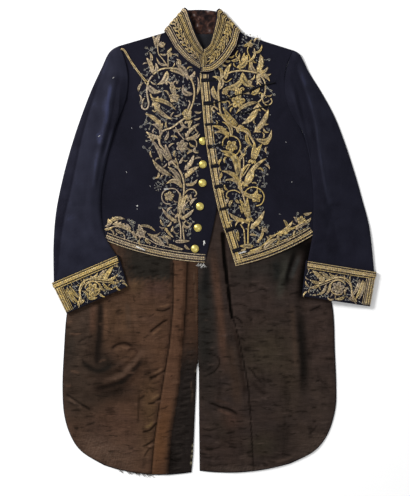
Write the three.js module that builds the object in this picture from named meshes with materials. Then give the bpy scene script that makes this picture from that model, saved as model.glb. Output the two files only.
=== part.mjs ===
// Embroidered court coat, laid out flat on its back on a table.
// Units are millimetres. +Z is up from the table, +Y runs from hem to collar, +X is the side of the
// wearer's left arm. The origin is the middle of the coat's outline on the table.
// "right" and "left" are the wearer's.
import * as THREE from 'three';

// ---------------------------------------------------------------- driving dimensions
const WOOL = 2.0;          // broadcloth, one thickness
const FOREPART = 2.6;      // broadcloth, canvas and the embroidery's ground
const SILK = 1.0;          // silk lining with its wadding
const GAP = 0.3;           // air between neighbouring pieces
const COLLAR_T = 2.6;      // stiffened stand collar
const LINING_Z = WOOL + GAP;                 // underside of every lining
const FORE_Z = LINING_Z + SILK + GAP;        // underside of the foreparts
const FORE_TOP = FORE_Z + FOREPART;
const LAP_Z = FORE_TOP + GAP;                // underside of the left front where it laps the right
const SLEEVE_ON_FORE = FORE_TOP + 0.6;       // underside of a sleeve over a forepart
const SLEEVE_ON_TAIL = LINING_Z + SILK + 0.4; // underside of a cuff over a tail
const SLEEVE_FULL = 1.8;   // how far the top sleeve stands off the under sleeve
const UNDER_INSET = 7.0;   // the under sleeve stops this far inside the sleeve's edges
const CUFF_T = 2.0;        // cuff wall
const CUFF_H = 10.2;       // cuff, outside height
const CUFF_ROOM = 4.8;     // from the cuff's outer edge to the sleeve's edge inside it
const PLEAT = 1.4;         // two more layers of silk at a pleat
const BUTTON_R = 9.0;
const BUTTON_H = 5.2;
const CORD_D = 3.9;        // two gold cords twisted together

// ---------------------------------------------------------------- tables
const table = (columns, rows) => rows.map(r => Object.fromEntries(columns.map((c, i) => [c, r[i]])));

// Foreparts, from the hem up to the shoulder: where each level meets the side and the front edge.
// lap is how far the side runs on under the sleeve.
const FORE_RIGHT = table(['sideX', 'sideY', 'frontX', 'frontY', 'lap'], [
  [-247.6, 1.9, -20.4, -50.6, 8],
  [-257.6, 38.0, -9.9, -4.0, 10],
  [-261.1, 84.6, 1.7, 47.3, 12],
  [-256.2, 142.8, 9.4, 96.2, 12],
  [-242.9, 212.7, 12.2, 166.1, 8],
  [-223.1, 287.3, 9.9, 247.7, 0],
  [-207.0, 340.9, 4.1, 329.2, 0],
  [-203.3, 387.5, -1.7, 393.1, 0],
  [-204.8, 406.0, -32.0, 400.3, 0],
  [-209.1, 424.8, -63.5, 420.1, 0],
  [-214.5, 440.0, -92.6, 448.1, 0],
  [-220.8, 456.2, -118.2, 490.0, 0],
]);
const FORE_LEFT = table(['sideX', 'sideY', 'frontX', 'frontY', 'lap'], [
  [227.8, 15.8, 50.7, -58.7, 8],
  [229.4, 45.0, 32.0, 0.7, 10],
  [230.1, 84.6, 14.6, 54.3, 12],
  [227.8, 142.8, -1.7, 124.2, 12],
  [219.6, 201.1, -12.9, 189.4, 8],
  [203.3, 264.0, -21.3, 247.7, 0],
  [181.2, 317.6, -27.4, 317.6, 0],
  [167.2, 371.2, -32.5, 396.8, 0],
  [167.6, 392.0, -11.1, 393.1, 0],
  [171.8, 413.1, 29.7, 417.8, 0],
  [178.5, 430.0, 53.5, 450.0, 0],
  [185.8, 445.7, 65.8, 487.7, 0],
]);
const FORE_HEM_BOW = { right: -10, left: -9 };   // the hem sags this far below a straight line

// Tails, from under the foreparts down to the hem. pleatA and pleatB are the edges of the pleat,
// as shares of the width from the outer edge to the back vent.
const TAIL_RIGHT = table(['outX', 'outY', 'inX', 'inY', 'pleatA', 'pleatB'], [
  [-251.1, 85.5, -36.9, 85.5, 0.80, 0.92],
  [-265.0, 31.0, -36.9, 26.3, 0.80, 0.92],
  [-300.0, -38.9, -37.2, -38.9, 0.80, 0.92],
  [-330.3, -104.2, -37.6, -108.8, 0.80, 0.91],
  [-344.3, -174.1, -38.6, -178.7, 0.80, 0.91],
  [-350.1, -253.3, -39.5, -253.3, 0.79, 0.90],
  [-353.6, -334.8, -40.9, -334.8, 0.77, 0.88],
  [-350.1, -402.4, -43.7, -397.7, 0.73, 0.84],
  [-334.9, -453.7, -46.0, -453.7, 0.70, 0.81],
  [-308.1, -492.1, -48.3, -500.3, 0.66, 0.79],
  [-255.7, -523.6, -51.8, -539.9, 0.60, 0.76],
]);
const TAIL_LEFT = table(['outX', 'outY', 'inX', 'inY', 'pleatA', 'pleatB'], [
  [213.8, 85.5, -35.8, 85.5, 0.76, 0.85],
  [224.3, 35.6, -35.8, 26.3, 0.76, 0.85],
  [247.6, -34.3, -35.8, -38.9, 0.765, 0.85],
  [267.4, -99.5, -35.8, -108.8, 0.77, 0.86],
  [280.2, -169.4, -35.8, -178.7, 0.74, 0.85],
  [283.4, -253.3, -35.3, -253.3, 0.71, 0.83],
  [286.7, -339.5, -34.8, -334.8, 0.68, 0.81],
  [284.4, -393.1, -34.4, -397.7, 0.65, 0.79],
  [267.4, -449.0, -33.9, -453.7, 0.61, 0.77],
  [235.9, -489.8, -33.4, -500.3, 0.56, 0.74],
  [182.3, -518.2, -33.0, -536.4, 0.46, 0.70],
]);
const TAIL_HEM_BOW = { right: -13, left: -12 };
const LINING_INSET = 2.0;                        // wool edge that shows round the silk

// Back, above the tails: side edge and centre seam.
const CENTRE_SEAM = table(['x', 'y'], [[-36.4, 85.5], [-34.0, 200], [-30.0, 340], [-27.0, 476.0]]);

// Sleeves, from the armhole down to the cuff: outer (back) edge and inner edge.
// bow is how far a level curves towards the body.
const SLEEVE_RIGHT = table(['outX', 'outY', 'inX', 'inY', 'bow'], [
  [-220.8, 456.2, -223.1, 287.3, 18.5],
  [-244.1, 441.1, -225.4, 278.0, 14],
  [-262.7, 403.8, -232.4, 257.0, 8],
  [-288.3, 347.9, -242.9, 219.7, 3],
  [-316.3, 273.3, -253.9, 173.1, 0],
  [-339.6, 198.7, -261.8, 126.5, 0],
  [-358.2, 124.2, -263.9, 82.2, 0],
  [-369.9, 58.9, -260.4, 42.6, 0],
  [-374.5, -11.0, -251.1, 7.7, 0],
]);
const SLEEVE_LEFT = table(['outX', 'outY', 'inX', 'inY', 'bow'], [
  [185.8, 445.7, 203.3, 264.0, 25],
  [202.6, 434.1, 208.4, 252.3, 17],
  [223.1, 394.5, 217.3, 224.4, 9],
  [252.2, 347.9, 225.2, 184.8, 3],
  [282.5, 291.9, 229.9, 142.8, 0],
  [307.0, 229.0, 232.7, 100.9, 0],
  [329.1, 161.5, 232.7, 68.3, 0],
  [347.8, 96.2, 231.7, 40.3, 0],
  [364.1, 31.0, 230.1, 12.3, 0],
]);
// Cuffs: outer and inner corners at the turned-back edge and at the wrist.
const CUFF = {
  right: table(['outX', 'outY', 'inX', 'inY'], [[-378.0, -97.2, -222.2, -31.2], [-343.1, -168.2, -199.8, -104.2]]),
  left: table(['outX', 'outY', 'inX', 'inY'], [[379.7, -71.5, 214.9, -44.5], [365.0, -152.1, 205.6, -127.5]]),
};

// Stand collar, station by station round the neck: seam edge and top edge of its middle surface.
const COLLAR_RIGHT = table(['seamX', 'seamY', 'seamZ', 'topX', 'topY', 'topZ'], [
  [-31.5, 402.2, 7.8, -26.6, 446.7, 11.6],
  [-62.3, 422.5, 8.2, -34.2, 465.5, 14.6],
  [-90.6, 451.1, 9.2, -45.9, 493.5, 16.4],
]);
const COLLAR_LEFT = table(['seamX', 'seamY', 'seamZ', 'topX', 'topY', 'topZ'], [
  [52.0, 455.0, 10.2, 6.4, 522.6, 17.0],
  [28.2, 421.5, 10.6, -0.6, 490.0, 17.0],
  [-2.7, 397.8, 11.4, -9.2, 460.6, 16.4],
  [-29.6, 400.0, 11.6, -21.8, 442.9, 15.4],
]);
const COLLAR_SIDE = {                      // the folds at the sides of the neck
  right: { seamX: -116.5, seamY: 491.5, topX: -68.4, topY: 545.9 },
  left: { seamX: 64.2, seamY: 489.5, topX: 13.4, topY: 543.6 },
};
const COLLAR_BACK_Z = COLLAR_T / 2;
const COLLAR_SEAM_HIGH = 10.4;
const COLLAR_TOP_HIGH = 17.0;
const COLLAR_BACK_DIP = 6.0;               // the back top edge dips between the folds

// Buttons down the right front.
const BUTTONS = table(['x', 'y'], [
  [-25.2, 234.2], [-25.5, 179.6], [-26.2, 136.1], [-32.3, 81.5], [-37.4, 31.5], [-43.9, -17.2],
]);
// Gold shoulder cord, from the shoulder seam to its loop.
const CORD_ROUTE = table(['x', 'y'], [
  [-216.5, 448.5], [-209.8, 446.6], [-203.0, 436.6], [-190.9, 416.0], [-174.0, 392.5], [-159.0, 373.5],
]);

// ---------------------------------------------------------------- helpers
const smooth = (a, b, x) => { const t = Math.min(1, Math.max(0, (x - a) / (b - a))); return t * t * (3 - 2 * t); };
const lerp = (a, b, t) => a + (b - a) * t;

// A smooth curve through the rows of a table, with n levels between each two rows.
function fill(rows, n) {
  const keys = Object.keys(rows[0]), out = [];
  for (let i = 0; i < rows.length - 1; i++) {
    const p0 = rows[Math.max(0, i - 1)], p1 = rows[i], p2 = rows[i + 1], p3 = rows[Math.min(rows.length - 1, i + 2)];
    for (let k = 0; k < n; k++) {
      const t = k / n, row = {};
      for (const c of keys) {
        const m1 = (p2[c] - p0[c]) / 2, m2 = (p3[c] - p1[c]) / 2;
        row[c] = (2 * t ** 3 - 3 * t ** 2 + 1) * p1[c] + (t ** 3 - 2 * t ** 2 + t) * m1
          + (-2 * t ** 3 + 3 * t ** 2) * p2[c] + (t ** 3 - t ** 2) * m2;
      }
      out.push(row);
    }
  }
  out.push({ ...rows[rows.length - 1] });
  return out;
}

// x where a side given by rows of (x, y) stands at height y.
function sideAt(line, y) {
  const s = [...line].sort((a, b) => a[1] - b[1]);
  if (y <= s[0][1]) return s[0][0];
  for (let i = 1; i < s.length; i++) {
    if (y <= s[i][1]) return lerp(s[i - 1][0], s[i][0], (y - s[i - 1][1]) / (s[i][1] - s[i - 1][1]));
  }
  return s[s.length - 1][0];
}

// A closed solid between two grids of points, low and high, of the same rows and columns.
function slab(low, high) {
  const R = low.length, C = low[0].length, pos = [], tri = [];
  for (const g of [low, high]) for (const row of g) for (const p of row) pos.push(...p);
  const L = (i, j) => i * C + j, H = (i, j) => R * C + i * C + j;
  for (let i = 0; i < R - 1; i++) for (let j = 0; j < C - 1; j++) {
    tri.push(H(i, j), H(i, j + 1), H(i + 1, j + 1), H(i, j), H(i + 1, j + 1), H(i + 1, j));
    tri.push(L(i, j), L(i + 1, j + 1), L(i, j + 1), L(i, j), L(i + 1, j), L(i + 1, j + 1));
  }
  const wall = (a, b, c, d) => tri.push(a, b, c, a, c, d);
  for (let j = 0; j < C - 1; j++) {
    wall(L(0, j), L(0, j + 1), H(0, j + 1), H(0, j));
    wall(L(R - 1, j + 1), L(R - 1, j), H(R - 1, j), H(R - 1, j + 1));
  }
  for (let i = 0; i < R - 1; i++) {
    wall(L(i + 1, 0), L(i, 0), H(i, 0), H(i + 1, 0));
    wall(L(i, C - 1), L(i + 1, C - 1), H(i + 1, C - 1), H(i, C - 1));
  }
  return facingOut(pos, tri);
}

function facingOut(pos, tri) {
  const v = i => new THREE.Vector3(pos[3 * i], pos[3 * i + 1], pos[3 * i + 2]);
  let volume = 0;
  for (let k = 0; k < tri.length; k += 3) volume += v(tri[k]).dot(v(tri[k + 1]).cross(v(tri[k + 2])));
  if (volume < 0) for (let k = 0; k < tri.length; k += 3) [tri[k + 1], tri[k + 2]] = [tri[k + 2], tri[k + 1]];
  const g = new THREE.BufferGeometry();
  g.setAttribute('position', new THREE.Float32BufferAttribute(pos, 3));
  g.setIndex(tri);
  g.computeVertexNormals();
  return g;
}

// A level of a piece, cut into columns at the given shares of its width.
function level(a, b, shares, bow = 0) {
  const dx = b[0] - a[0], dy = b[1] - a[1], len = Math.hypot(dx, dy) || 1;
  return shares.map(u => {
    const w = 4 * u * (1 - u) * bow;
    return [lerp(a[0], b[0], u) - dy / len * w, lerp(a[1], b[1], u) + dx / len * w];
  });
}
const even = n => Array.from({ length: n + 1 }, (_, i) => i / n);

// A sheet of cloth over a plan grid, with its underside and its upper side given as heights.
const cloth = (plan, under, upper) => slab(
  plan.map((r, i) => r.map((p, j) => [p[0], p[1], under(p[0], p[1], i, j)])),
  plan.map((r, i) => r.map((p, j) => [p[0], p[1], upper(p[0], p[1], i, j)])));

// ---------------------------------------------------------------- body outlines
const outward = { right: -1, left: 1 };
const FORE = { right: fill(FORE_RIGHT, 2), left: fill(FORE_LEFT, 2) };
const TAIL = { right: fill(TAIL_RIGHT, 2), left: fill(TAIL_LEFT, 2) };
const bodySide = side => FORE[side].map(r => [r.sideX + outward[side] * r.lap, r.sideY]);
const SIDE = { right: bodySide('right'), left: bodySide('left') };
const TAIL_OUT = { right: TAIL.right.map(r => [r.outX, r.outY]), left: TAIL.left.map(r => [r.outX, r.outY]) };
const hemAt = (side, x) => {
  const r = FORE[side][0], a = r.sideX + outward[side] * r.lap;
  return lerp(r.sideY, r.frontY, Math.min(1, Math.max(0, (x - a) / (r.frontX - a))));
};

// Height that a sleeve or cuff lies at: on the table, on a tail, or on a forepart.
function bed(side, x, y) {
  const s = outward[side];
  const beyondFore = Math.hypot(Math.max(0, s * (x - sideAt(SIDE[side], y))), Math.max(0, hemAt(side, x) - y));
  const onFore = SLEEVE_ON_FORE * (1 - smooth(10, 38, beyondFore));
  const tailX = y > 85 ? sideAt(SIDE[side], y) : sideAt(TAIL_OUT[side], y);
  const onTail = SLEEVE_ON_TAIL * (1 - smooth(8, 62, Math.max(0, s * (x - tailX)) * 0.85));
  return Math.max(onFore, onTail);
}

// ---------------------------------------------------------------- pieces
const mat = (color, roughness, metalness = 0) => new THREE.MeshStandardMaterial({ color, roughness, metalness });
const NAVY = '#1e1f2e', BROWN = '#463529', BLACK = '#15141a', GOLD = '#b59a58', BRASS = '#c2ab49', WORN = '#3d241b';
const coat = new THREE.Group();
function add(name, geometry, material) {
  const m = new THREE.Mesh(geometry, material);
  m.name = name;
  coat.add(m);
  return m;
}

// Back halves, each cut in one with its tail, from the hem up to the shoulder and the neck.
function back(side) {
  const s = outward[side];
  const tail = TAIL[side].slice(3).reverse().map(r => ({ a: [r.outX, r.outY], b: [r.inX + s * GAP * 0.5, r.inY], bow: 0 }));
  tail[0].bow = -s * TAIL_HEM_BOW[side];
  tail[1].bow = -s * TAIL_HEM_BOW[side] * 0.35;
  const centre = CENTRE_SEAM.map(r => [r.x, r.y]);
  const upper = [2, 6, 9, 11, 13, 15, 17, 19, 22].map(i => FORE[side][i]).filter(r => r.sideY > 50).map(r => {
    const y = Math.min(r.sideY, 476.0);
    return { a: [r.sideX + s * r.lap, y], b: [sideAt(centre, y + 0.01) + s * GAP * 0.5, y], bow: 0 };
  });
  const top = upper[upper.length - 1];
  top.b[1] = 476.0;
  top.bow = s * -6;
  const plan = [...tail, ...upper].map(r => level(r.a, r.b, even(5), r.bow));
  return cloth(plan, () => 0, () => WOOL);
}
add('back_right', back('right'), mat(NAVY, 0.92));
add('back_left', back('left'), mat(NAVY, 0.92));

// Black lining of the back, seen inside the neck.
const backLining = CENTRE_SEAM.map(r => ({ ...r }));
const LINING_ROWS = table(['rightX', 'leftX', 'y', 'bow'], [
  [-236, 206, 86.5, 0], [-236, 206, 200, 0], [-196, 172, 300, 0], [-182, 150, 400, 0], [-150, 116, 452, 0], [-108, 56, 473, 0],
]);
add('back_lining', cloth(LINING_ROWS.map(r => level([r.rightX, r.y], [r.leftX, r.y], even(6), r.bow)),
  () => LINING_Z, () => LINING_Z + SILK), mat(BLACK, 0.55));

// Brown silk linings of the tails, face up, each with its pleat beside the back vent.
function tailLining(side) {
  const s = outward[side], rows = TAIL[side].map((r, i, all) => {
    const last = i === all.length - 1, y0 = last ? LINING_INSET : 0;
    return {
      a: [r.outX - s * LINING_INSET, r.outY + y0 * 0.8], b: [r.inX + s * (LINING_INSET * 0.7), r.inY + y0],
      A: r.pleatA, B: r.pleatB, bow: last ? -s * TAIL_HEM_BOW[side] : i === all.length - 2 ? -s * TAIL_HEM_BOW[side] * 0.35 : 0,
    };
  });
  const e = 0.008;
  const shares = r => [0, 0.03, 0.16, 0.32, 0.48, 0.62, r.A - e, r.A + e, (r.A + r.B) / 2, r.B - e, r.B + e, 1].sort((p, q) => p - q);
  const lift = [0, 0, 0, 0, 0, 0, 0, 1, 1, 0.85, 0.35, 0.2];
  const plan = rows.map(r => level(r.a, r.b, shares(r), r.bow));
  return cloth(plan, () => LINING_Z,
    (x, y, i, j) => LINING_Z + SILK + PLEAT * lift[j] * (1 - smooth(-130, -62, y)));
}
add('tail_lining_right', tailLining('right'), mat(BROWN, 0.5));
add('tail_lining_left', tailLining('left'), mat('#372c29', 0.5));

// Foreparts. The left one laps over the right one and over the top button.
function forepart(side) {
  const s = outward[side];
  const rightFront = FORE.right.map(r => [r.frontX, r.frontY]).filter(p => p[1] < 394);
  const plan = FORE[side].map((r, i) => level([r.sideX + s * r.lap, r.sideY], [r.frontX, r.frontY],
    side === 'right' ? [0, 0.15, 0.3, 0.45, 0.6, 0.75, 0.9, 1] : [0, 0.15, 0.3, 0.45, 0.6, 0.72, 0.8, 0.87, 0.93, 1],
    -s * FORE_HEM_BOW[side] * Math.max(0, 1 - i / 3)));
  const base = (x, y) => {
    if (side === 'right') return FORE_Z;
    const over = 1 - smooth(4, 40, x - sideAt(rightFront, y));
    const b = BUTTONS[0], d = Math.hypot(x - b.x, y - b.y);
    return FORE_Z + (LAP_Z - FORE_Z + 0.2) * over + 5.4 * Math.exp(-((d / 42) ** 2));
  };
  return cloth(plan, base, (x, y) => base(x, y) + FOREPART);
}
add('forepart_right', forepart('right'), mat(NAVY, 0.9));
add('forepart_left', forepart('left'), mat(NAVY, 0.9));

// Sleeves: an under sleeve and a top sleeve, both running on inside the cuff.
function sleeveRows(side) {
  const c = CUFF[side], end = 0.96;
  const inset = r => {
    const dx = r.inX - r.outX, dy = r.inY - r.outY, len = Math.hypot(dx, dy);
    return {
      outX: r.outX + dx / len * CUFF_ROOM, outY: r.outY + dy / len * CUFF_ROOM,
      inX: r.inX - dx / len * CUFF_ROOM, inY: r.inY - dy / len * CUFF_ROOM, bow: 0,
    };
  };
  const top = inset(c[0]), wrist = inset({
    outX: lerp(c[0].outX, c[1].outX, end), outY: lerp(c[0].outY, c[1].outY, end),
    inX: lerp(c[0].inX, c[1].inX, end), inY: lerp(c[0].inY, c[1].inY, end),
  });
  const rows = fill([...(side === 'right' ? SLEEVE_RIGHT : SLEEVE_LEFT), top], 2);
  rows.push({ ...Object.fromEntries(Object.keys(top).map(k => [k, lerp(top[k], wrist[k], 0.5)])) }, wrist);
  return rows;
}
// How far a sleeve is inside its cuff, 0 to 1, by its level.
function inCuff(rows, i) {
  const n = rows.length;
  return [0, 0.35, 1][Math.max(0, i - (n - 6))] ?? 1;
}
const sleeveBed = (side, rows) => (x, y, i) => bed(side, x, y) + (CUFF_T + 0.7) * inCuff(rows, i);
const ACROSS = [0.125, 0.25, 0.375, 0.5, 0.625, 0.75, 0.875];
const byEdge = (width, distances) => {
  const near = distances.map(d => d / width);
  return [...near, ...ACROSS, ...near.map(d => 1 - d).reverse()];
};
const plan = (side, rows, shares) => rows.map(r => level([r.outX, r.outY], [r.inX, r.inY],
  shares(Math.hypot(r.inX - r.outX, r.inY - r.outY)), -outward[side] * r.bow));
function underSleeve(side) {
  const all = sleeveRows(side), rows = all.slice(2), lift = sleeveBed(side, all);
  return cloth(plan(side, rows, w => [UNDER_INSET / w, ...ACROSS, 1 - UNDER_INSET / w]),
    (x, y, i) => lift(x, y, i + 2), (x, y, i) => lift(x, y, i + 2) + WOOL);
}
function topSleeve(side) {
  const rows = sleeveRows(side), lift = sleeveBed(side, rows);
  const edge = [0, 0.55, 1], grid = plan(side, rows, w => byEdge(w, [0, 2.4, 5.6]));
  const last = grid[0].length - 1;
  const up = (i, j) => {
    const e = j <= 2 ? edge[j] : j >= last - 2 ? edge[last - j] : 1;
    const open = [0, 0.6, 1][Math.min(2, i)];
    const full = SLEEVE_FULL * Math.sin(Math.PI * Math.min(1, Math.max(0, (j - 1) / (last - 2)))) * (1 - inCuff(rows, i)) * open;
    return (WOOL + GAP + 0.2) * e * (i === 0 ? 0 : i === 1 ? 0.7 : 1) + full;
  };
  return cloth(grid, (x, y, i, j) => lift(x, y, i) + up(i, j), (x, y, i, j) => lift(x, y, i) + up(i, j) + WOOL);
}
for (const side of ['right', 'left']) {
  add(`under_sleeve_${side}`, underSleeve(side), mat(NAVY, 0.92));
  add(`top_sleeve_${side}`, topSleeve(side), mat(NAVY, 0.92));
}

// Turned-back cuffs: a flattened ring round the end of the sleeve.
function cuff(side) {
  const c = CUFF[side], r = CUFF_H / 2, arc = 4, across = 12, rings = 4, loops = [];
  const section = inner => {           // [share across, distance from the edge, height]
    const q = r - (inner ? CUFF_T : 0), pts = [];
    for (let k = 0; k <= across; k++) pts.push([k / across, 0, r - q]);
    for (let k = 1; k < arc; k++) pts.push([1, q * Math.sin(Math.PI * k / arc), r - q * Math.cos(Math.PI * k / arc)]);
    for (let k = across; k >= 0; k--) pts.push([k / across, 0, r + q]);
    for (let k = arc - 1; k > 0; k--) pts.push([0, -q * Math.sin(Math.PI * k / arc), r - q * Math.cos(Math.PI * k / arc)]);
    return pts;
  };
  const pos = [], tri = [], N = section(false).length;
  for (const inner of [false, true]) for (let i = 0; i <= rings; i++) {
    const t = i / rings, a = [lerp(c[0].outX, c[1].outX, t), lerp(c[0].outY, c[1].outY, t)];
    const b = [lerp(c[0].inX, c[1].inX, t), lerp(c[0].inY, c[1].inY, t)];
    const len = Math.hypot(b[0] - a[0], b[1] - a[1]), e = [(b[0] - a[0]) / len, (b[1] - a[1]) / len];
    for (const [u, d, h] of section(inner)) {
      const along = lerp(r, len - r, u) + d, x = a[0] + e[0] * along, y = a[1] + e[1] * along;
      pos.push(x, y, bed(side, x, y) + h);
    }
  }
  const P = (inner, i, k) => ((inner ? 1 : 0) * (rings + 1) + i) * N + (k % N);
  for (let k = 0; k < N; k++) {
    for (let i = 0; i < rings; i++) {
      tri.push(P(0, i, k), P(0, i + 1, k), P(0, i + 1, k + 1), P(0, i, k), P(0, i + 1, k + 1), P(0, i, k + 1));
      tri.push(P(1, i, k), P(1, i + 1, k + 1), P(1, i + 1, k), P(1, i, k), P(1, i, k + 1), P(1, i + 1, k + 1));
    }
    tri.push(P(0, 0, k), P(0, 0, k + 1), P(1, 0, k + 1), P(0, 0, k), P(1, 0, k + 1), P(1, 0, k));
    tri.push(P(0, rings, k), P(1, rings, k + 1), P(0, rings, k + 1), P(0, rings, k), P(1, rings, k), P(1, rings, k + 1));
  }
  return facingOut(pos, tri);
}
add('cuff_right', cuff('right'), mat(NAVY, 0.9));
add('cuff_left', cuff('left'), mat(NAVY, 0.9));

// Stand collar: one stiff band round the neck, folded flat at the sides.
function collarStations() {
  const out = [], fold = (side, down) => {
    const f = COLLAR_SIDE[side], s = outward[side], n = 6;
    // unit vector in plan from the fold line towards the neck
    const dx = f.topX - f.seamX, dy = f.topY - f.seamY, len = Math.hypot(dx, dy), nx = dy / len * -s, ny = dx / len * s;
    for (let k = 0; k <= n; k++) {
      const a = Math.PI * (down ? k : n - k) / n;
      const st = (X, Y, high) => {
        const r = (high - COLLAR_BACK_Z) / 2, in_ = r * (1 - Math.sin(a)) + COLLAR_T / 2;
        return [X + nx * in_, Y + ny * in_, COLLAR_BACK_Z + r * (1 + Math.cos(a))];
      };
      out.push({ seam: st(f.seamX, f.seamY, COLLAR_SEAM_HIGH), top: st(f.topX, f.topY, COLLAR_TOP_HIGH) });
    }
  };
  const flat = r => ({ seam: [r.seamX, r.seamY, r.seamZ], top: [r.topX, r.topY, r.topZ] });
  for (const r of fill(COLLAR_RIGHT, 2)) out.push(flat(r));
  fold('right', true);
  const a = out[out.length - 1], n = 6, back = [];
  fold('left', false);
  const b = out[out.length - 7];
  for (let k = 1; k < n; k++) {
    const t = k / n, dip = 4 * t * (1 - t) * COLLAR_BACK_DIP;
    back.push({
      seam: [lerp(a.seam[0], b.seam[0], t), lerp(a.seam[1], b.seam[1], t) - dip, COLLAR_BACK_Z],
      top: [lerp(a.top[0], b.top[0], t), lerp(a.top[1], b.top[1], t) - dip, COLLAR_BACK_Z],
    });
  }
  out.splice(out.length - 7, 0, ...back);
  for (const r of fill(COLLAR_LEFT, 2)) out.push(flat(r));
  return out;
}
const STATIONS = collarStations();
function band(stations, shares, outside, inside) {
  const mid = stations.map(s => shares.map(v => new THREE.Vector3(...s.seam).lerp(new THREE.Vector3(...s.top), v)));
  const R = mid.length, C = shares.length, low = [], high = [];
  for (let i = 0; i < R; i++) {
    low.push([]); high.push([]);
    for (let j = 0; j < C; j++) {
      const du = mid[Math.min(R - 1, i + 1)][j].clone().sub(mid[Math.max(0, i - 1)][j]);
      const dv = mid[i][Math.min(C - 1, j + 1)].clone().sub(mid[i][Math.max(0, j - 1)]);
      const n = du.cross(dv).normalize();
      low[i].push(mid[i][j].clone().addScaledVector(n, outside).toArray());
      high[i].push(mid[i][j].clone().addScaledVector(n, inside).toArray());
    }
  }
  return slab(low, high);
}
add('collar', band(STATIONS, even(2), -COLLAR_T / 2, COLLAR_T / 2), mat(NAVY, 0.9));
const backStations = STATIONS.slice(12, 12 + 7);
add('collar_lining', band(backStations, [0.04, 0.5, 0.97], COLLAR_T / 2 + GAP, COLLAR_T / 2 + GAP + SILK), mat(WORN, 0.75));

// Domed brass buttons on the right front.
BUTTONS.forEach((b, i) => {
  const r = BUTTON_R, h = BUTTON_H, profile = [[0, 0], [r * 0.86, 0], [r, 0.9], [r, 1.7]];
  for (let k = 1; k <= 5; k++) {
    const a = k / 5 * Math.PI / 2;
    profile.push([k === 5 ? 0 : r * 0.96 * Math.cos(a), 1.7 + (h - 1.7) * Math.sin(a)]);
  }
  const g = new THREE.LatheGeometry(profile.map(p => new THREE.Vector2(p[0], p[1])), 20);
  g.rotateX(Math.PI / 2);
  const m = add(`button_${i + 1}`, g, mat(BRASS, 0.35, 0.9));
  m.position.set(b.x, b.y, FORE_TOP + GAP);
});

// Gold cord over the right shoulder.
const route = new THREE.CatmullRomCurve3(CORD_ROUTE.map(r => new THREE.Vector3(r.x, r.y, FORE_TOP + GAP + CORD_D / 2)));
const round = new THREE.Shape(Array.from({ length: 8 }, (_, k) => {
  const a = (k + 0.5) * Math.PI / 4;
  return new THREE.Vector2(CORD_D / 2 * Math.cos(a), CORD_D / 2 * Math.sin(a));
}));
add('shoulder_cord', new THREE.ExtrudeGeometry(round, { steps: 22, bevelEnabled: false, extrudePath: route }), mat(GOLD, 0.5, 0.6));

export default coat;
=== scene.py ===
import math

import bpy
import numpy as np
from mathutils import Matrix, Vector


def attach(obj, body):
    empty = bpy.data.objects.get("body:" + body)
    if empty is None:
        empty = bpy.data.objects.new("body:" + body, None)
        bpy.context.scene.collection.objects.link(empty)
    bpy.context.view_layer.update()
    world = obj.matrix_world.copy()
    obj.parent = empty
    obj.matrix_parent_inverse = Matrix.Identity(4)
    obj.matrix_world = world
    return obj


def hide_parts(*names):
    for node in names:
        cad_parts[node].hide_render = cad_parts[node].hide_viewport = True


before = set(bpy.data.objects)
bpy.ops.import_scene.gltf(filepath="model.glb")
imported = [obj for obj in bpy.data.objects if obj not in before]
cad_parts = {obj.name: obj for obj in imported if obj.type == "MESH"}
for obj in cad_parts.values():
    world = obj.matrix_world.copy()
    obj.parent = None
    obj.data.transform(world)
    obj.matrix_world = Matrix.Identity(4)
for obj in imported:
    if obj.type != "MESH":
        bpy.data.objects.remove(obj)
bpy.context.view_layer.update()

MM = 0.001
rng = np.random.default_rng(11)

# ------------------------------------------------------------------ sizes, in millimetres, as in the model
WOOL, FOREPART, SILK, GAP, COLLAR_T = 2.0, 2.6, 1.0, 0.3, 2.6
LINING_Z = WOOL + GAP
FORE_Z = LINING_Z + SILK + GAP
FORE_TOP = FORE_Z + FOREPART
LAP_Z = FORE_TOP + GAP
SLEEVE_ON_FORE = FORE_TOP + 0.6
SLEEVE_ON_TAIL = LINING_Z + SILK + 0.4
SLEEVE_FULL, UNDER_INSET = 1.8, 7.0
CUFF_T, CUFF_H, CUFF_ROOM = 2.0, 10.2, 4.8
BUTTON_R, BUTTON_H, CORD_D = 9.0, 5.2, 3.9


def table(columns, rows):
    return {c: np.array([r[i] for r in rows], float) for i, c in enumerate(columns)}


FORE = {
    "right": table(["sideX", "sideY", "frontX", "frontY", "lap"], [
        [-247.6, 1.9, -20.4, -50.6, 8], [-257.6, 38.0, -9.9, -4.0, 10], [-261.1, 84.6, 1.7, 47.3, 12],
        [-256.2, 142.8, 9.4, 96.2, 12], [-242.9, 212.7, 12.2, 166.1, 8], [-223.1, 287.3, 9.9, 247.7, 0],
        [-207.0, 340.9, 4.1, 329.2, 0], [-203.3, 387.5, -1.7, 393.1, 0], [-204.8, 406.0, -32.0, 400.3, 0],
        [-209.1, 424.8, -63.5, 420.1, 0], [-214.5, 440.0, -92.6, 448.1, 0], [-220.8, 456.2, -118.2, 490.0, 0]]),
    "left": table(["sideX", "sideY", "frontX", "frontY", "lap"], [
        [227.8, 15.8, 50.7, -58.7, 8], [229.4, 45.0, 32.0, 0.7, 10], [230.1, 84.6, 14.6, 54.3, 12],
        [227.8, 142.8, -1.7, 124.2, 12], [219.6, 201.1, -12.9, 189.4, 8], [203.3, 264.0, -21.3, 247.7, 0],
        [181.2, 317.6, -27.4, 317.6, 0], [167.2, 371.2, -32.5, 396.8, 0], [167.6, 392.0, -11.1, 393.1, 0],
        [171.8, 413.1, 29.7, 417.8, 0], [178.5, 430.0, 53.5, 450.0, 0], [185.8, 445.7, 65.8, 487.7, 0]]),
}
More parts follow.
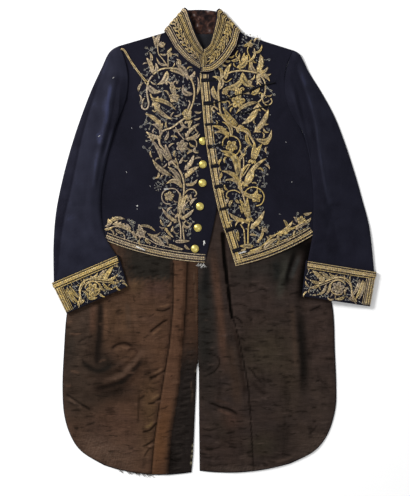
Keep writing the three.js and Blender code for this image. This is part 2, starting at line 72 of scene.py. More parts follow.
for s_, rows_ in (("right", {8: (-31.0, 406.2), 9: (-58.2, 422.9), 10: (-86.6, 447.4), 11: (-113.4, 487.6)}),
                  ("left", {8: (-12.8, 398.8), 9: (24.1, 420.0), 10: (47.5, 449.2), 11: (61.0, 485.4)})):
    for k_, (x_, y_) in rows_.items():
        FORE[s_]["frontX"][k_], FORE[s_]["frontY"][k_] = x_, y_
TAIL = {
    "right": table(["outX", "outY", "inX", "inY", "pleatA", "pleatB"], [
        [-251.1, 85.5, -36.9, 85.5, .80, .92], [-265.0, 31.0, -36.9, 26.3, .80, .92],
        [-300.0, -38.9, -37.2, -38.9, .80, .92], [-330.3, -104.2, -37.6, -108.8, .80, .91],
        [-344.3, -174.1, -38.6, -178.7, .80, .91], [-350.1, -253.3, -39.5, -253.3, .79, .90],
        [-353.6, -334.8, -40.9, -334.8, .77, .88], [-350.1, -402.4, -43.7, -397.7, .73, .84],
        [-334.9, -453.7, -46.0, -453.7, .70, .81], [-308.1, -492.1, -48.3, -500.3, .66, .79],
        [-255.7, -523.6, -51.8, -539.9, .60, .76]]),
    "left": table(["outX", "outY", "inX", "inY", "pleatA", "pleatB"], [
        [213.8, 85.5, -35.8, 85.5, .76, .85], [224.3, 35.6, -35.8, 26.3, .76, .85],
        [247.6, -34.3, -35.8, -38.9, .765, .85], [267.4, -99.5, -35.8, -108.8, .77, .86],
        [280.2, -169.4, -35.8, -178.7, .74, .85], [283.4, -253.3, -35.3, -253.3, .71, .83],
        [286.7, -339.5, -34.8, -334.8, .68, .81], [284.4, -393.1, -34.4, -397.7, .65, .79],
        [267.4, -449.0, -33.9, -453.7, .61, .77], [235.9, -489.8, -33.4, -500.3, .56, .74],
        [182.3, -518.2, -33.0, -536.4, .46, .70]]),
}
TAIL_HEM_BOW = {"right": -13.0, "left": -12.0}
FORE_HEM_BOW = {"right": -10.0, "left": -9.0}
LINING_INSET = 2.0
CENTRE_SEAM = table(["x", "y"], [[-36.4, 85.5], [-34.0, 200], [-30.0, 340], [-27.0, 476.0]])
SLEEVE = {
    "right": table(["outX", "outY", "inX", "inY", "bow"], [
        [-220.8, 456.2, -223.1, 287.3, 18.5], [-244.1, 441.1, -225.4, 278.0, 14], [-262.7, 403.8, -232.4, 257.0, 8],
        [-288.3, 347.9, -242.9, 219.7, 3], [-316.3, 273.3, -253.9, 173.1, 0], [-339.6, 198.7, -261.8, 126.5, 0],
        [-358.2, 124.2, -263.9, 82.2, 0], [-369.9, 58.9, -260.4, 42.6, 0], [-374.5, -11.0, -251.1, 7.7, 0]]),
    "left": table(["outX", "outY", "inX", "inY", "bow"], [
        [185.8, 445.7, 203.3, 264.0, 25], [202.6, 434.1, 208.4, 252.3, 17], [223.1, 394.5, 217.3, 224.4, 9],
        [252.2, 347.9, 225.2, 184.8, 3], [282.5, 291.9, 229.9, 142.8, 0], [307.0, 229.0, 232.7, 100.9, 0],
        [329.1, 161.5, 232.7, 68.3, 0], [347.8, 96.2, 231.7, 40.3, 0], [364.1, 31.0, 230.1, 12.3, 0]]),
}
CUFF = {
    "right": table(["outX", "outY", "inX", "inY"], [[-378.0, -97.2, -222.2, -31.2], [-343.1, -168.2, -199.8, -104.2]]),
    "left": table(["outX", "outY", "inX", "inY"], [[379.7, -71.5, 214.9, -44.5], [365.0, -152.1, 205.6, -127.5]]),
}
COLLAR_RIGHT = table(["seamX", "seamY", "seamZ", "topX", "topY", "topZ"], [
    [-31.5, 402.2, 7.8, -26.6, 446.7, 11.6], [-62.3, 422.5, 8.2, -34.2, 465.5, 14.6],
    [-90.6, 451.1, 9.2, -45.9, 493.5, 16.4]])
COLLAR_LEFT = table(["seamX", "seamY", "seamZ", "topX", "topY", "topZ"], [
    [52.0, 455.0, 10.2, 6.4, 522.6, 17.0], [28.2, 421.5, 10.6, -0.6, 490.0, 17.0],
    [-2.7, 397.8, 11.4, -9.2, 460.6, 16.4], [-29.6, 400.0, 11.6, -21.8, 442.9, 15.4]])
COLLAR_RIGHT["seamX"][0], COLLAR_RIGHT["seamY"][0], COLLAR_RIGHT["topX"][0], COLLAR_RIGHT["topY"][0] = -27.4, 400.0, -21.6, 444.6
COLLAR_LEFT["seamX"][3], COLLAR_LEFT["seamY"][3], COLLAR_LEFT["topX"][3], COLLAR_LEFT["topY"][3] = -33.4, 394.0, -24.6, 446.6
COLLAR_LEFT["seamZ"][3], COLLAR_LEFT["topZ"][3] = 13.0, 16.4
COLLAR_SIDE = {"right": (-116.5, 491.5, -68.4, 545.9), "left": (64.2, 489.5, 13.4, 543.6)}
COLLAR_BACK_Z, COLLAR_SEAM_HIGH, COLLAR_TOP_HIGH, COLLAR_BACK_DIP = COLLAR_T / 2, 10.4, 17.0, 6.0
BUTTONS = table(["x", "y"], [[-25.2, 234.2], [-25.5, 179.6], [-26.2, 136.1], [-32.3, 81.5], [-37.4, 31.5], [-43.9, -17.2]])
CORD_ROUTE = table(["x", "y"], [[-216.5, 448.5], [-209.8, 446.6], [-203.0, 436.6], [-190.9, 416.0], [-174.0, 392.5], [-159.0, 373.5]])
OUT = {"right": -1.0, "left": 1.0}


# The layout grid: 2.33 mm a step, counted from the top left corner of the view.
def LX(x):
    return (np.asarray(x, float) - 213.75) * 2.33


def LY(y):
    return (241.3 - np.asarray(y, float)) * 2.33


# ------------------------------------------------------------------ small mathematics
def smooth(a, b, x):
    t = np.clip((np.asarray(x, float) - a) / (b - a), 0, 1)
    return t * t * (3 - 2 * t)


def fill(t, n):
    """A smooth curve through a table's rows, n levels between each two."""
    keys = list(t)
    R = len(t[keys[0]])
    rho = np.concatenate([np.arange(R - 1)[:, None] + np.arange(n)[None] / n, ], 1).reshape(-1)
    rho = np.append(rho, R - 1)
    return sample(t, rho), rho


def sample(t, rho):
    out = {}
    rho = np.asarray(rho, float)
    for c, v in t.items():
        R = len(v)
        i = np.clip(np.floor(rho).astype(int), 0, R - 2)
        f = rho - i
        p0, p1, p2, p3 = v[np.maximum(i - 1, 0)], v[i], v[i + 1], v[np.minimum(i + 2, R - 1)]
        m1, m2 = (p2 - p0) / 2, (p3 - p1) / 2
        out[c] = (2 * f**3 - 3 * f**2 + 1) * p1 + (f**3 - 2 * f**2 + f) * m1 + (-2 * f**3 + 3 * f**2) * p2 + (f**3 - f**2) * m2
    return out


def catmull(points, n):
    p = np.array(points, float)
    t = {str(k): p[:, k] for k in range(p.shape[1])}
    s, _ = fill(t, n)
    return np.stack([s[str(k)] for k in range(p.shape[1])], 1)


def resample(line, step=None, count=None):
    line = np.asarray(line, float)
    d = np.concatenate([[0], np.cumsum(np.linalg.norm(np.diff(line, axis=0), axis=1))])
    n = count or max(2, int(round(d[-1] / step)) + 1)
    s = np.linspace(0, d[-1], n)
    return np.stack([np.interp(s, d, line[:, k]) for k in range(line.shape[1])], 1)


def near_line(x, y, pts):
    """Distance to a line, which side of it (positive to its left), and how far along, 0 to 1."""
    pts = np.asarray(pts, float)
    best = np.full(np.shape(x), 1e9)
    side = np.zeros(np.shape(x))
    along = np.zeros(np.shape(x))
    seg = np.linalg.norm(np.diff(pts, axis=0), axis=1)
    total, run = seg.sum(), 0.0
    for k in range(len(pts) - 1):
        ax, ay = pts[k]
        dx, dy = pts[k + 1] - pts[k]
        L2 = dx * dx + dy * dy
        t = np.clip(((x - ax) * dx + (y - ay) * dy) / L2, 0, 1)
        d = np.hypot(x - ax - t * dx, y - ay - t * dy)
        m = d < best
        best = np.where(m, d, best)
        side = np.where(m, np.sign(dx * (y - ay) - dy * (x - ax)), side)
        along = np.where(m, (run + t * seg[k]) / total, along)
        run += seg[k]
    return best, side, along


def ends(along, a=0.15):
    return smooth(0, a, along) * (1 - smooth(1 - a, 1, along))


def trough(x, y, pts, width, depth, taper=0.2):
    """A soft groove, or a ridge if depth is below zero, along a line in the layout grid."""
    p = np.stack([LX([q[0] for q in pts]), LY([q[1] for q in pts])], 1)
    d, _, t = near_line(x, y, p)
    return -depth * np.exp(-((d / width) ** 2)) * ends(t, taper)


def step(x, y, pts, rise, sharp, decay, taper=0.1):
    """A fold edge: the cloth stands up to the left of the line and settles again past decay."""
    p = np.stack([LX([q[0] for q in pts]), LY([q[1] for q in pts])], 1)
    d, s, t = near_line(x, y, p)
    sd = d * s
    return rise * smooth(-sharp / 2, sharp / 2, sd) * np.exp(-np.maximum(sd, 0) / decay) * ends(t, taper)


def blob(x, y, cx, cy, rx, ry, turn=0.0):
    X, Y = x - LX(cx), y - LY(cy)
    c, s = math.cos(turn), math.sin(turn)
    return np.exp(-((X * c + Y * s) / rx) ** 2 - ((-X * s + Y * c) / ry) ** 2)


def waves(x, y, seed, scale, amount, stretch=(1.0, 1.0), n=9):
    """Smooth uneven relief from a few sine waves in set directions."""
    r = np.random.default_rng(seed)
    z = np.zeros(np.shape(x))
    for _ in range(n):
        a, k = r.uniform(0, math.tau), r.uniform(0.6, 1.7) * math.tau / scale
        z = z + np.sin((x * math.cos(a) * stretch[0] + y * math.sin(a) * stretch[1]) * k + r.uniform(0, math.tau))
    return z * amount / math.sqrt(n)


# ------------------------------------------------------------------ where things lie
def hem_mid(side):
    t = FORE[side]
    return t["sideX"][0] + OUT[side] * t["lap"][0], t["sideY"][0], t["frontX"][0], t["frontY"][0]


FORE_FINE = {s: fill(FORE[s], 12) for s in FORE}
SIDE = {}
for s_ in FORE:
    f_ = FORE_FINE[s_][0]
    o_ = np.argsort(f_["sideY"])
    SIDE[s_] = (f_["sideY"][o_], (f_["sideX"] + OUT[s_] * f_["lap"])[o_])
TAIL_OUT = {}
for s_ in TAIL:
    f_ = fill(TAIL[s_], 8)[0]
    o_ = np.argsort(f_["outY"])
    TAIL_OUT[s_] = (f_["outY"][o_], f_["outX"][o_])
_rf = FORE_FINE["right"][0]
_k = _rf["frontY"] < 394
RIGHT_FRONT = (_rf["frontY"][_k], _rf["frontX"][_k])
_lf = FORE_FINE["left"][0]
_k = _lf["frontY"] < 397
_o = np.argsort(_lf["frontY"][_k])
LEFT_FRONT = (_lf["frontY"][_k][_o], _lf["frontX"][_k][_o])


def bed(side, x, y):
    s = OUT[side]
    ax, ay, bx, by = hem_mid(side)
    hem = ay + (by - ay) * np.clip((x - ax) / (bx - ax), 0, 1)
    beyond = np.hypot(np.maximum(0, s * (x - np.interp(y, *SIDE[side]))), np.maximum(0, hem - y))
    on_fore = SLEEVE_ON_FORE * (1 - smooth(10, 38, beyond))
    tx = np.where(y > 85, np.interp(y, *SIDE[side]), np.interp(y, *TAIL_OUT[side]))
    on_tail = SLEEVE_ON_TAIL * (1 - smooth(8, 62, np.maximum(0, s * (x - tx)) * 0.85))
    return np.maximum(on_fore, on_tail)


def fullness(x, y):
    """How far the fronts stand off the back: a soft chest on each side, and slight unevenness."""
    z = 4.0 * np.exp(-(((x + 125) / 62) ** 2) - ((y - 250) / 105) ** 2)
    z = z + 4.0 * np.exp(-(((x - 105) / 62) ** 2) - ((y - 250) / 105) ** 2)
    z = z + 0.45 * waves(x, y, 5, 120, 1.0)
    for pts, w, d in FRONT_CREASES:
        z = z + trough(x, y, pts, w, d)
    return z


FRONT_CREASES = [
    ([(122, 96), (134, 104), (142, 118)], 7, 1.6), ([(112, 140), (124, 150), (134, 152)], 9, 1.4),
    ([(106, 180), (118, 176), (132, 178)], 10, 1.2), ([(128, 60), (132, 80), (131, 100)], 7, 1.3),
    ([(291, 104), (283, 112), (276, 124)], 7, 1.6), ([(300, 150), (290, 156), (280, 154)], 9, 1.4),
    ([(306, 190), (294, 186), (284, 190)], 10, 1.2), ([(283, 66), (280, 84), (284, 100)], 7, 1.2),
]


def fore_top(side, x, y):
    z = FORE_TOP + fullness(x, y)
    if side == "left":
        over = 1 - smooth(4, 40, x - np.interp(y, *RIGHT_FRONT))
        d = np.hypot(x - BUTTONS["x"][0], y - BUTTONS["y"][0])
        z = z + (LAP_Z - FORE_Z + 0.2) * over + 5.4 * np.exp(-((d / 42) ** 2))
    return z


# ------------------------------------------------------------------ meshes
def new_mesh(name, V, F, material, uv=None, attributes=None, smooth_faces=True):
    """V in millimetres. F is a list of face index tuples or an array of quads."""
    me = bpy.data.meshes.new(name)
    F = F.tolist() if isinstance(F, np.ndarray) else F
    me.from_pydata((np.asarray(V, float) * MM).tolist(), [], F)
    if uv is not None:
        layer = me.uv_layers.new(name="cloth")
        idx = np.zeros(len(me.loops), np.int32)
        me.loops.foreach_get("vertex_index", idx)
        layer.data.foreach_set("uv", (np.asarray(uv, float)[idx] * MM).astype(np.float32).reshape(-1))
    for key, val in (attributes or {}).items():
        val = np.asarray(val, np.float32)
        if val.ndim == 1:
            a = me.attributes.new(key, "FLOAT", "POINT")
            a.data.foreach_set("value", val)
        else:
            a = me.color_attributes.new(key, "FLOAT_COLOR", "POINT")
            rgba = np.ones((len(val), 4), np.float32)
            rgba[:, :3] = val
            a.data.foreach_set("color", rgba.reshape(-1))
    me.validate()
    me.polygons.foreach_set("use_smooth", [smooth_faces] * len(me.polygons))
    me.update()
    ob = bpy.data.objects.new(name, me)
    bpy.context.scene.collection.objects.link(ob)
    me.materials.append(material)
    return ob


def area(P):
    """Area of a grid of points, in square metres."""
    a, b, c, d = P[:-1, :-1], P[:-1, 1:], P[1:, 1:], P[1:, :-1]
    return float((np.linalg.norm(np.cross(b - a, c - a), axis=2) + np.linalg.norm(np.cross(c - a, d - a), axis=2)).sum() / 2) * MM * MM


def slab(name, low, high, material, uv=None, attributes=None):
    """A thin closed shell between two grids of points."""
    R, C = low.shape[:2]
    V = np.concatenate([high.reshape(-1, 3), low.reshape(-1, 3)])
    i, j = np.meshgrid(np.arange(R - 1), np.arange(C - 1), indexing="ij")
    a = (i * C + j).reshape(-1)
    N = R * C
    top = np.stack([a, a + 1, a + C + 1, a + C], 1)
    quads = [top, top[:, ::-1] + N]
    j0 = np.arange(C - 1)
    i0 = np.arange(R - 1) * C
    quads.append(np.stack([j0 + 1, j0, j0 + N, j0 + 1 + N], 1))
    e = (R - 1) * C + j0
    quads.append(np.stack([e, e + 1, e + 1 + N, e + N], 1))
    quads.append(np.stack([i0, i0 + C, i0 + C + N, i0 + N], 1))
    quads.append(np.stack([i0 + C + C - 1, i0 + C - 1, i0 + C - 1 + N, i0 + C + C - 1 + N], 1))
    F = np.concatenate(quads)
    p = V[F]
    vol = np.einsum("ij,ij->i", p[:, 0], np.cross(p[:, 1], p[:, 2])).sum() + np.einsum("ij,ij->i", p[:, 0], np.cross(p[:, 2], p[:, 3])).sum()
    if vol < 0:
        F = F[:, ::-1]
    if uv is not None:
        uv = np.concatenate([uv.reshape(-1, 2)] * 2)
    both = {k: np.concatenate([v.reshape(N, -1).squeeze()] * 2) for k, v in (attributes or {}).items()}
    return new_mesh(name, V, F, material, uv, both)


def levels(t, a, b, shares, bow):
    """Plan grid: rows of the table, columns at the given shares of its width."""
    ax, ay, bx, by = t[a + "X"][:, None], t[a + "Y"][:, None], t[b + "X"][:, None], t[b + "Y"][:, None]
    dx, dy = bx - ax, by - ay
    L = np.maximum(np.hypot(dx, dy), 1e-6)
    u = shares if shares.ndim == 2 else shares[None]
    w = 4 * u * (1 - u) * np.asarray(bow, float).reshape(-1, 1)
    return np.stack([ax + dx * u - dy / L * w, ay + dy * u + dx / L * w], 2)


def rim_shares(width, step_mm, rim=1.0):
    """Even shares across, with two narrow columns at each edge for a rounded rim."""
    n = max(4, int(round(width / step_mm)))
    e = rim / width
    mid = np.linspace(e, 1 - e, n)
    return np.concatenate([[0, e * 0.35], mid, [1 - e * 0.35, 1]])


def rim_rows(rho, gap=0.02):
    return np.concatenate([[rho[0], rho[0] + gap * 0.35, rho[0] + gap], rho[1:-1], [rho[-1] - gap, rho[-1] - gap * 0.35, rho[-1]]])


def rounded(shape):
    """How far the edge rounds over: 1 at the very edge, 0 inside."""
    R, C = shape
    r, c = np.zeros(R), np.zeros(C)
    r[0] = r[-1] = c[0] = c[-1] = 1
    r[1] = r[-2] = c[1] = c[-2] = 0.35
    return np.maximum(r[:, None], c[None])


def cloth(name, P, under, thick, material, attributes=None, uv=None):
    """A shell of cloth over a plan grid P, its underside at the heights given."""
    k = rounded(P.shape[:2]) * thick * 0.42
    low = np.dstack([P, under + k])
    high = np.dstack([P, under + thick - k])
    ob = slab(name, low, high, material, P if uv is None else uv, attributes)
    return ob, area(high)


# ------------------------------------------------------------------ materials
class Nodes:
    def __init__(self, name):
        self.m = bpy.data.materials.new(name)
        self.m.use_nodes = True
        self.t = self.m.node_tree
        self.b = self.t.nodes["Principled BSDF"]

    def add(self, kind, **k):
        n = self.t.nodes.new("ShaderNode" + kind)
        for a, v in k.items():
            if hasattr(n, a):
                setattr(n, a, v)
            else:
                n.inputs[a].default_value = v
        return n

    def put(self, node, socket, value):
        if isinstance(value, bpy.types.NodeSocket):
            self.t.links.new(value, node.inputs[socket])
        else:
            node.inputs[socket].default_value = value

    def where(self):
        return self.add("TexCoord").outputs["Object"]

    def uv(self):
        return self.add("UVMap", uv_map="cloth").outputs[0]

    def attr(self, name, out="Fac"):
        return self.add("Attribute", attribute_name=name, attribute_type="GEOMETRY").outputs[out]

    def stretch(self, vec, scale, turn=(0, 0, 0)):
        n = self.add("Mapping")
        self.put(n, "Vector", vec)
        n.inputs["Scale"].default_value = scale
        n.inputs["Rotation"].default_value = turn
        return n.outputs[0]

    def noise(self, vec, scale, detail=3.0, rough=0.55, distortion=0.0):
        n = self.add("TexNoise")
        self.put(n, "Vector", vec)
        n.inputs["Scale"].default_value = scale
        n.inputs["Detail"].default_value = detail
        n.inputs["Roughness"].default_value = rough
        n.inputs["Distortion"].default_value = distortion
        return n.outputs["Fac"]

    def voronoi(self, vec, scale, feature="F1"):
        n = self.add("TexVoronoi", feature=feature)
        self.put(n, "Vector", vec)
        n.inputs["Scale"].default_value = scale
        return n.outputs["Distance"]

    def wave(self, vec, scale, direction="X", distortion=0.0, detail_scale=1.0, profile="SIN"):
        n = self.add("TexWave", bands_direction=direction, wave_profile=profile)
        self.put(n, "Vector", vec)
        n.inputs["Scale"].default_value = scale
        n.inputs["Distortion"].default_value = distortion
        n.inputs["Detail Scale"].default_value = detail_scale
        return n.outputs["Fac"]

    def ramp(self, fac, stops):
        n = self.add("ValToRGB")
        self.put(n, "Fac", fac)
        el = n.color_ramp.elements
        while len(el) > len(stops):
            el.remove(el[-1])
        while len(el) < len(stops):
            el.new(1.0)
        for e, (p, c) in zip(el, stops):
            e.position = p
            e.color = (*c, 1) if len(c) == 3 else c
        return n.outputs["Color"]

    def curve(self, fac, lo, hi, a=0.0, b=1.0):
        n = self.add("MapRange")
        self.put(n, "Value", fac)
        n.inputs["From Min"].default_value, n.inputs["From Max"].default_value = lo, hi
        n.inputs["To Min"].default_value, n.inputs["To Max"].default_value = a, b
        return n.outputs[0]

    def math(self, op, a, b=0.0, c=0.0):
        n = self.add("Math", operation=op)
        for k, v in enumerate((a, b, c)):
            if k < len(n.inputs):
                self.put(n, k, v)
        return n.outputs[0]

    def mix(self, fac, a, b, kind="MIX"):
        n = self.add("Mix", data_type="RGBA", blend_type=kind)
        for idx, v in ((0, fac), (6, a), (7, b)):
            if isinstance(v, bpy.types.NodeSocket):
                self.t.links.new(v, n.inputs[idx])
            else:
                n.inputs[idx].default_value = v if idx == 0 else (*v, 1)
        return n.outputs[2]

    def bump(self, height, strength, distance):
        n = self.add("Bump")
        self.put(n, "Height", height)
        n.inputs["Strength"].default_value = strength
        n.inputs["Distance"].default_value = distance
        return n.outputs[0]

    def finish(self, color=None, rough=None, normal=None, **sockets):
        for k, v in (("Base Color", color), ("Roughness", rough), ("Normal", normal)):
            if v is None:
                continue
            if k == "Base Color" and not isinstance(v, bpy.types.NodeSocket):
                v = (*v, 1)
            self.put(self.b, k, v)
        for k, v in sockets.items():
            self.b.inputs[k.replace("_", " ")].default_value = v
        return self.m


def wool(name, deep=(0.0036, 0.0034, 0.0066), light=(0.0080, 0.0078, 0.0140)):
    n = Nodes(name)
    p = n.where()
    patch = n.noise(p, 9, 3, 0.6)
    felt = n.noise(n.stretch(p, (1, 1, 1)), 520, 4, 0.7)
    fibre = n.noise(n.stretch(p, (1.0, 0.25, 1.0), (0, 0, 0.7)), 1500, 2, 0.6)
    twill = n.wave(n.stretch(p, (1, 1, 1), (0, 0, 0.9)), 330, "X", 1.2, 2.0)
    c = n.mix(n.curve(patch, 0.3, 0.72), deep, light)
    c = n.mix(n.math("MULTIPLY", n.curve(felt, 0.45, 0.8), 0.55), c, (light[0] * 1.9, light[1] * 1.9, light[2] * 1.8))
    c = n.mix(n.curve(n.noise(p, 2300, 1, 0.5), 0.75, 0.82), c, (0.06, 0.06, 0.07))
    # painted sheen and shade: the sleeves' attribute turns the navy lighter and bluer where light catches them and
    # leaves it dark in their shaded creases
    c = n.mix(n.math("MULTIPLY", n.attr("painted_sheen_and_shade"), n.curve(patch, 0.2, 0.8, 0.75, 1.0)), c, (0.0185, 0.0190, 0.0315))
    c = n.mix(n.curve(n.attr("painted_sheen_and_shade"), 0.85, 1.6, 0, 1), c, (0.032, 0.036, 0.076))
    h = n.math("ADD", n.math("MULTIPLY", felt, 0.7), n.math("ADD", n.math("MULTIPLY", fibre, 0.5), n.math("MULTIPLY", twill, 0.12)))
    return n.finish(c, n.curve(patch, 0.2, 0.8, 0.86, 0.97), n.bump(h, 0.55, 0.0005),
                    Sheen_Weight=0.05, Sheen_Roughness=0.5, Sheen_Tint=(0.42, 0.46, 0.75, 1), Specular_IOR_Level=0.06)


def silk(name):
    n = Nodes(name)
    p = n.where()
    # the tails' colour attribute: the silk's dye with painted shade in its folds and painted highlights on its ridges
    tint_and_painted_light = n.attr("tint_and_painted_light", "Color")
    rib = n.noise(n.stretch(p, (1.0, 9.0, 1.0)), 70, 5, 0.65, 0.3)
    rib2 = n.noise(n.stretch(p, (1.0, 5.0, 1.0)), 16, 4, 0.6, 0.4)
    warp = n.noise(n.stretch(p, (14.0, 1.0, 1.0)), 60, 3, 0.6)
    weave = n.wave(n.stretch(p, (1, 1, 1), (0, 0, 0.5)), 420, "X", 0.4)
    thread = n.noise(n.stretch(p, (30.0, 1.0, 1.0)), 180, 2, 0.5)
    v = n.math("ADD", n.math("MULTIPLY", n.curve(rib, 0.25, 0.75, -1, 1), 0.30), n.math("MULTIPLY", n.curve(rib2, 0.25, 0.75, -1, 1), 0.30))
    v = n.math("ADD", v, n.math("MULTIPLY", n.curve(warp, 0.25, 0.75, -1, 1), 0.12))
    v = n.math("ADD", v, n.math("MULTIPLY", n.curve(n.noise(p, 34, 4, 0.7), 0.56, 0.78, 0, 1), 0.42))
    v = n.math("SUBTRACT", v, n.math("MULTIPLY", n.curve(n.noise(n.stretch(p, (3, 1, 1)), 11, 3, 0.6), 0.52, 0.74, 0, 1), 0.40))
    v = n.math("SUBTRACT", v, n.math("MULTIPLY", n.curve(n.noise(n.stretch(p, (1, 2.4, 1), (0, 0, 0.12)), 24, 3, 0.7, 0.8), 0.60, 0.68, 0, 1), 0.38))
    v = n.math("MAXIMUM", n.math("ADD", v, 1.0), 0.12)
    c = n.mix(1.0, tint_and_painted_light, (1, 1, 1), "MULTIPLY")
    grey = n.add("CombineColor")
    for k in range(3):
        n.put(grey, k, v)
    c = n.mix(1.0, c, grey.outputs[0], "MULTIPLY")
    h = n.math("ADD", n.math("MULTIPLY", rib, 1.0), n.math("ADD", n.math("MULTIPLY", weave, 0.05), n.math("MULTIPLY", thread, 0.12)))
    return n.finish(c, n.curve(rib2, 0.3, 0.7, 0.40, 0.54), n.bump(h, 0.7, 0.0018),
                    Specular_IOR_Level=0.03, Specular_Tint=(1.0, 0.82, 0.66, 1))


def plain_lining(name, a, b, grain=480, rough=0.62):
    n = Nodes(name)
    p = n.where()
    c = n.mix(n.curve(n.noise(p, 38, 4, 0.7), 0.35, 0.7), a, b)
    weave = n.math("ADD", n.wave(p, grain, "X"), n.wave(p, grain, "Y"))
    c = n.mix(n.curve(weave, 0.2, 1.8, 0, 0.35), c, tuple(min(1, 1.9 * v) for v in b))
    return n.finish(c, rough, n.bump(weave, 0.4, 0.0004), Specular_IOR_Level=0.08)


def worn_velvet(name):
    n = Nodes(name)
    p = n.where()
    wear_and_highlights = n.noise(n.stretch(p, (1, 1, 1)), 58, 4, 0.62, 0.9)
    pile = n.noise(p, 900, 3, 0.6)
    # mottled from near black to pale: pile rubbed unevenly, with painted highlights in the palest patches
    c = n.ramp(wear_and_highlights, [(0.36, (0.005, 0.003, 0.004)), (0.47, (0.017, 0.008, 0.007)), (0.55, (0.050, 0.019, 0.012)), (0.62, (0.060, 0.032, 0.026)), (0.72, (0.20, 0.16, 0.15))])
    c = n.mix(n.curve(pile, 0.3, 0.7, 0, 0.4), c, (0.008, 0.005, 0.005))
    h = n.math("ADD", n.math("MULTIPLY", wear_and_highlights, 1.2), n.math("MULTIPLY", pile, 0.3))
    return n.finish(c, n.curve(wear_and_highlights, 0.4, 0.7, 0.85, 0.5), n.bump(h, 0.7, 0.0012), Sheen_Weight=0.08, Sheen_Roughness=0.4,
                    Sheen_Tint=(0.6, 0.35, 0.3, 1), Specular_IOR_Level=0.1)


def metal_thread(name, pale, deep, metallic=0.55, rough=0.46, twist=310.0):
    """Couched metal thread: tone picks fresh or faded gilding (with a painted highlight along each leaf's crest), dark
    darkens veins and paints shade into gaps, grooves and sunk edges; random patches and flecks add painted highlights
    and glints.
    """
    n = Nodes(name)
    uv = n.uv()
    tone, dark = n.attr("tone"), n.attr("dark")
    stitch = n.wave(n.stretch(uv, (1, 1, 1), (0, 0, 0.55)), twist, "X", 0.6, 1.5)
    fleck = n.noise(uv, 700, 2, 0.6)
    blotch = n.noise(n.where(), 120, 3, 0.65)
    c = n.mix(tone, pale, deep)
    c = n.mix(n.curve(blotch, 0.42, 0.72, 0, 0.72), c, (0.13, 0.10, 0.072))
    # painted highlights: random patches turned pale gold
    c = n.mix(n.curve(n.noise(n.where(), 260, 2, 0.6), 0.52, 0.66, 0, 0.62), c, (0.98, 0.85, 0.52))
    c = n.mix(n.curve(n.noise(n.where(), 430, 2, 0.6), 0.52, 0.68, 0, 0.80), c, (0.045, 0.035, 0.026))
    c = n.mix(n.curve(stitch, 0.0, 0.35, 0.62, 0.0), c, (0.03, 0.022, 0.014))
    # painted glints: small bright flecks
    c = n.mix(n.curve(fleck, 0.62, 0.75, 0, 0.7), c, (0.85, 0.72, 0.42))
    # dark veins and painted shade, from the dark attribute
    c = n.mix(n.math("MULTIPLY", dark, 0.9), c, (0.018, 0.014, 0.012))
    h = n.math("ADD", stitch, n.math("MULTIPLY", fleck, 0.4))
    return n.finish(c, n.curve(blotch, 0.3, 0.7, rough - 0.06, rough + 0.14), n.bump(h, 0.8, 0.00045),
                    Metallic=metallic, Specular_IOR_Level=0.5)


def black_thread(name):
    n = Nodes(name)
    p = n.where()
    s = n.wave(n.uv(), 300, "Y", 0.3)
    c = n.mix(s, (0.002, 0.002, 0.003), (0.008, 0.008, 0.010))
    return n.finish(c, n.curve(n.noise(p, 400, 2), 0.3, 0.7, 0.45, 0.7), n.bump(s, 0.6, 0.0003), Specular_IOR_Level=0.12)


def brass(name):
    n = Nodes(name)
    p = n.where()
    tarnish = n.noise(p, 260, 4, 0.65)
    scratch = n.noise(n.stretch(p, (1, 6, 1), (0, 0, 0.8)), 900, 2, 0.5)
    c = n.ramp(tarnish, [(0.28, (0.36, 0.26, 0.06)), (0.47, (0.72, 0.58, 0.15)), (0.68, (0.90, 0.80, 0.30))])
    return n.finish(c, n.curve(tarnish, 0.25, 0.7, 0.42, 0.27), n.bump(n.math("ADD", n.math("MULTIPLY", scratch, 0.3), tarnish), 0.25, 0.0003),
                    Metallic=0.88, Specular_IOR_Level=0.5)


def lint_material(name, col):
    n = Nodes(name)
    c = n.mix(n.noise(n.where(), 800, 2), tuple(0.75 * v for v in col), col)
    return n.finish(c, 0.9)


M_WOOL = wool("navy_broadcloth")
M_SILK = silk("brown_silk")
M_BLACK = plain_lining("black_lining", (0.006, 0.006, 0.0075), (0.013, 0.013, 0.016))
M_VELVET = worn_velvet("worn_velvet")
M_GOLD = metal_thread("gold_thread", (0.60, 0.468, 0.355), (0.80, 0.560, 0.160))
M_SILVER = metal_thread("silver_thread", (0.47, 0.49, 0.52), (0.52, 0.50, 0.42), 0.4, 0.42, 420)
M_THREAD = black_thread("black_twist")
M_BRASS = brass("gilt_brass")
M_LINT = lint_material("white_lint", (0.72, 0.71, 0.68))


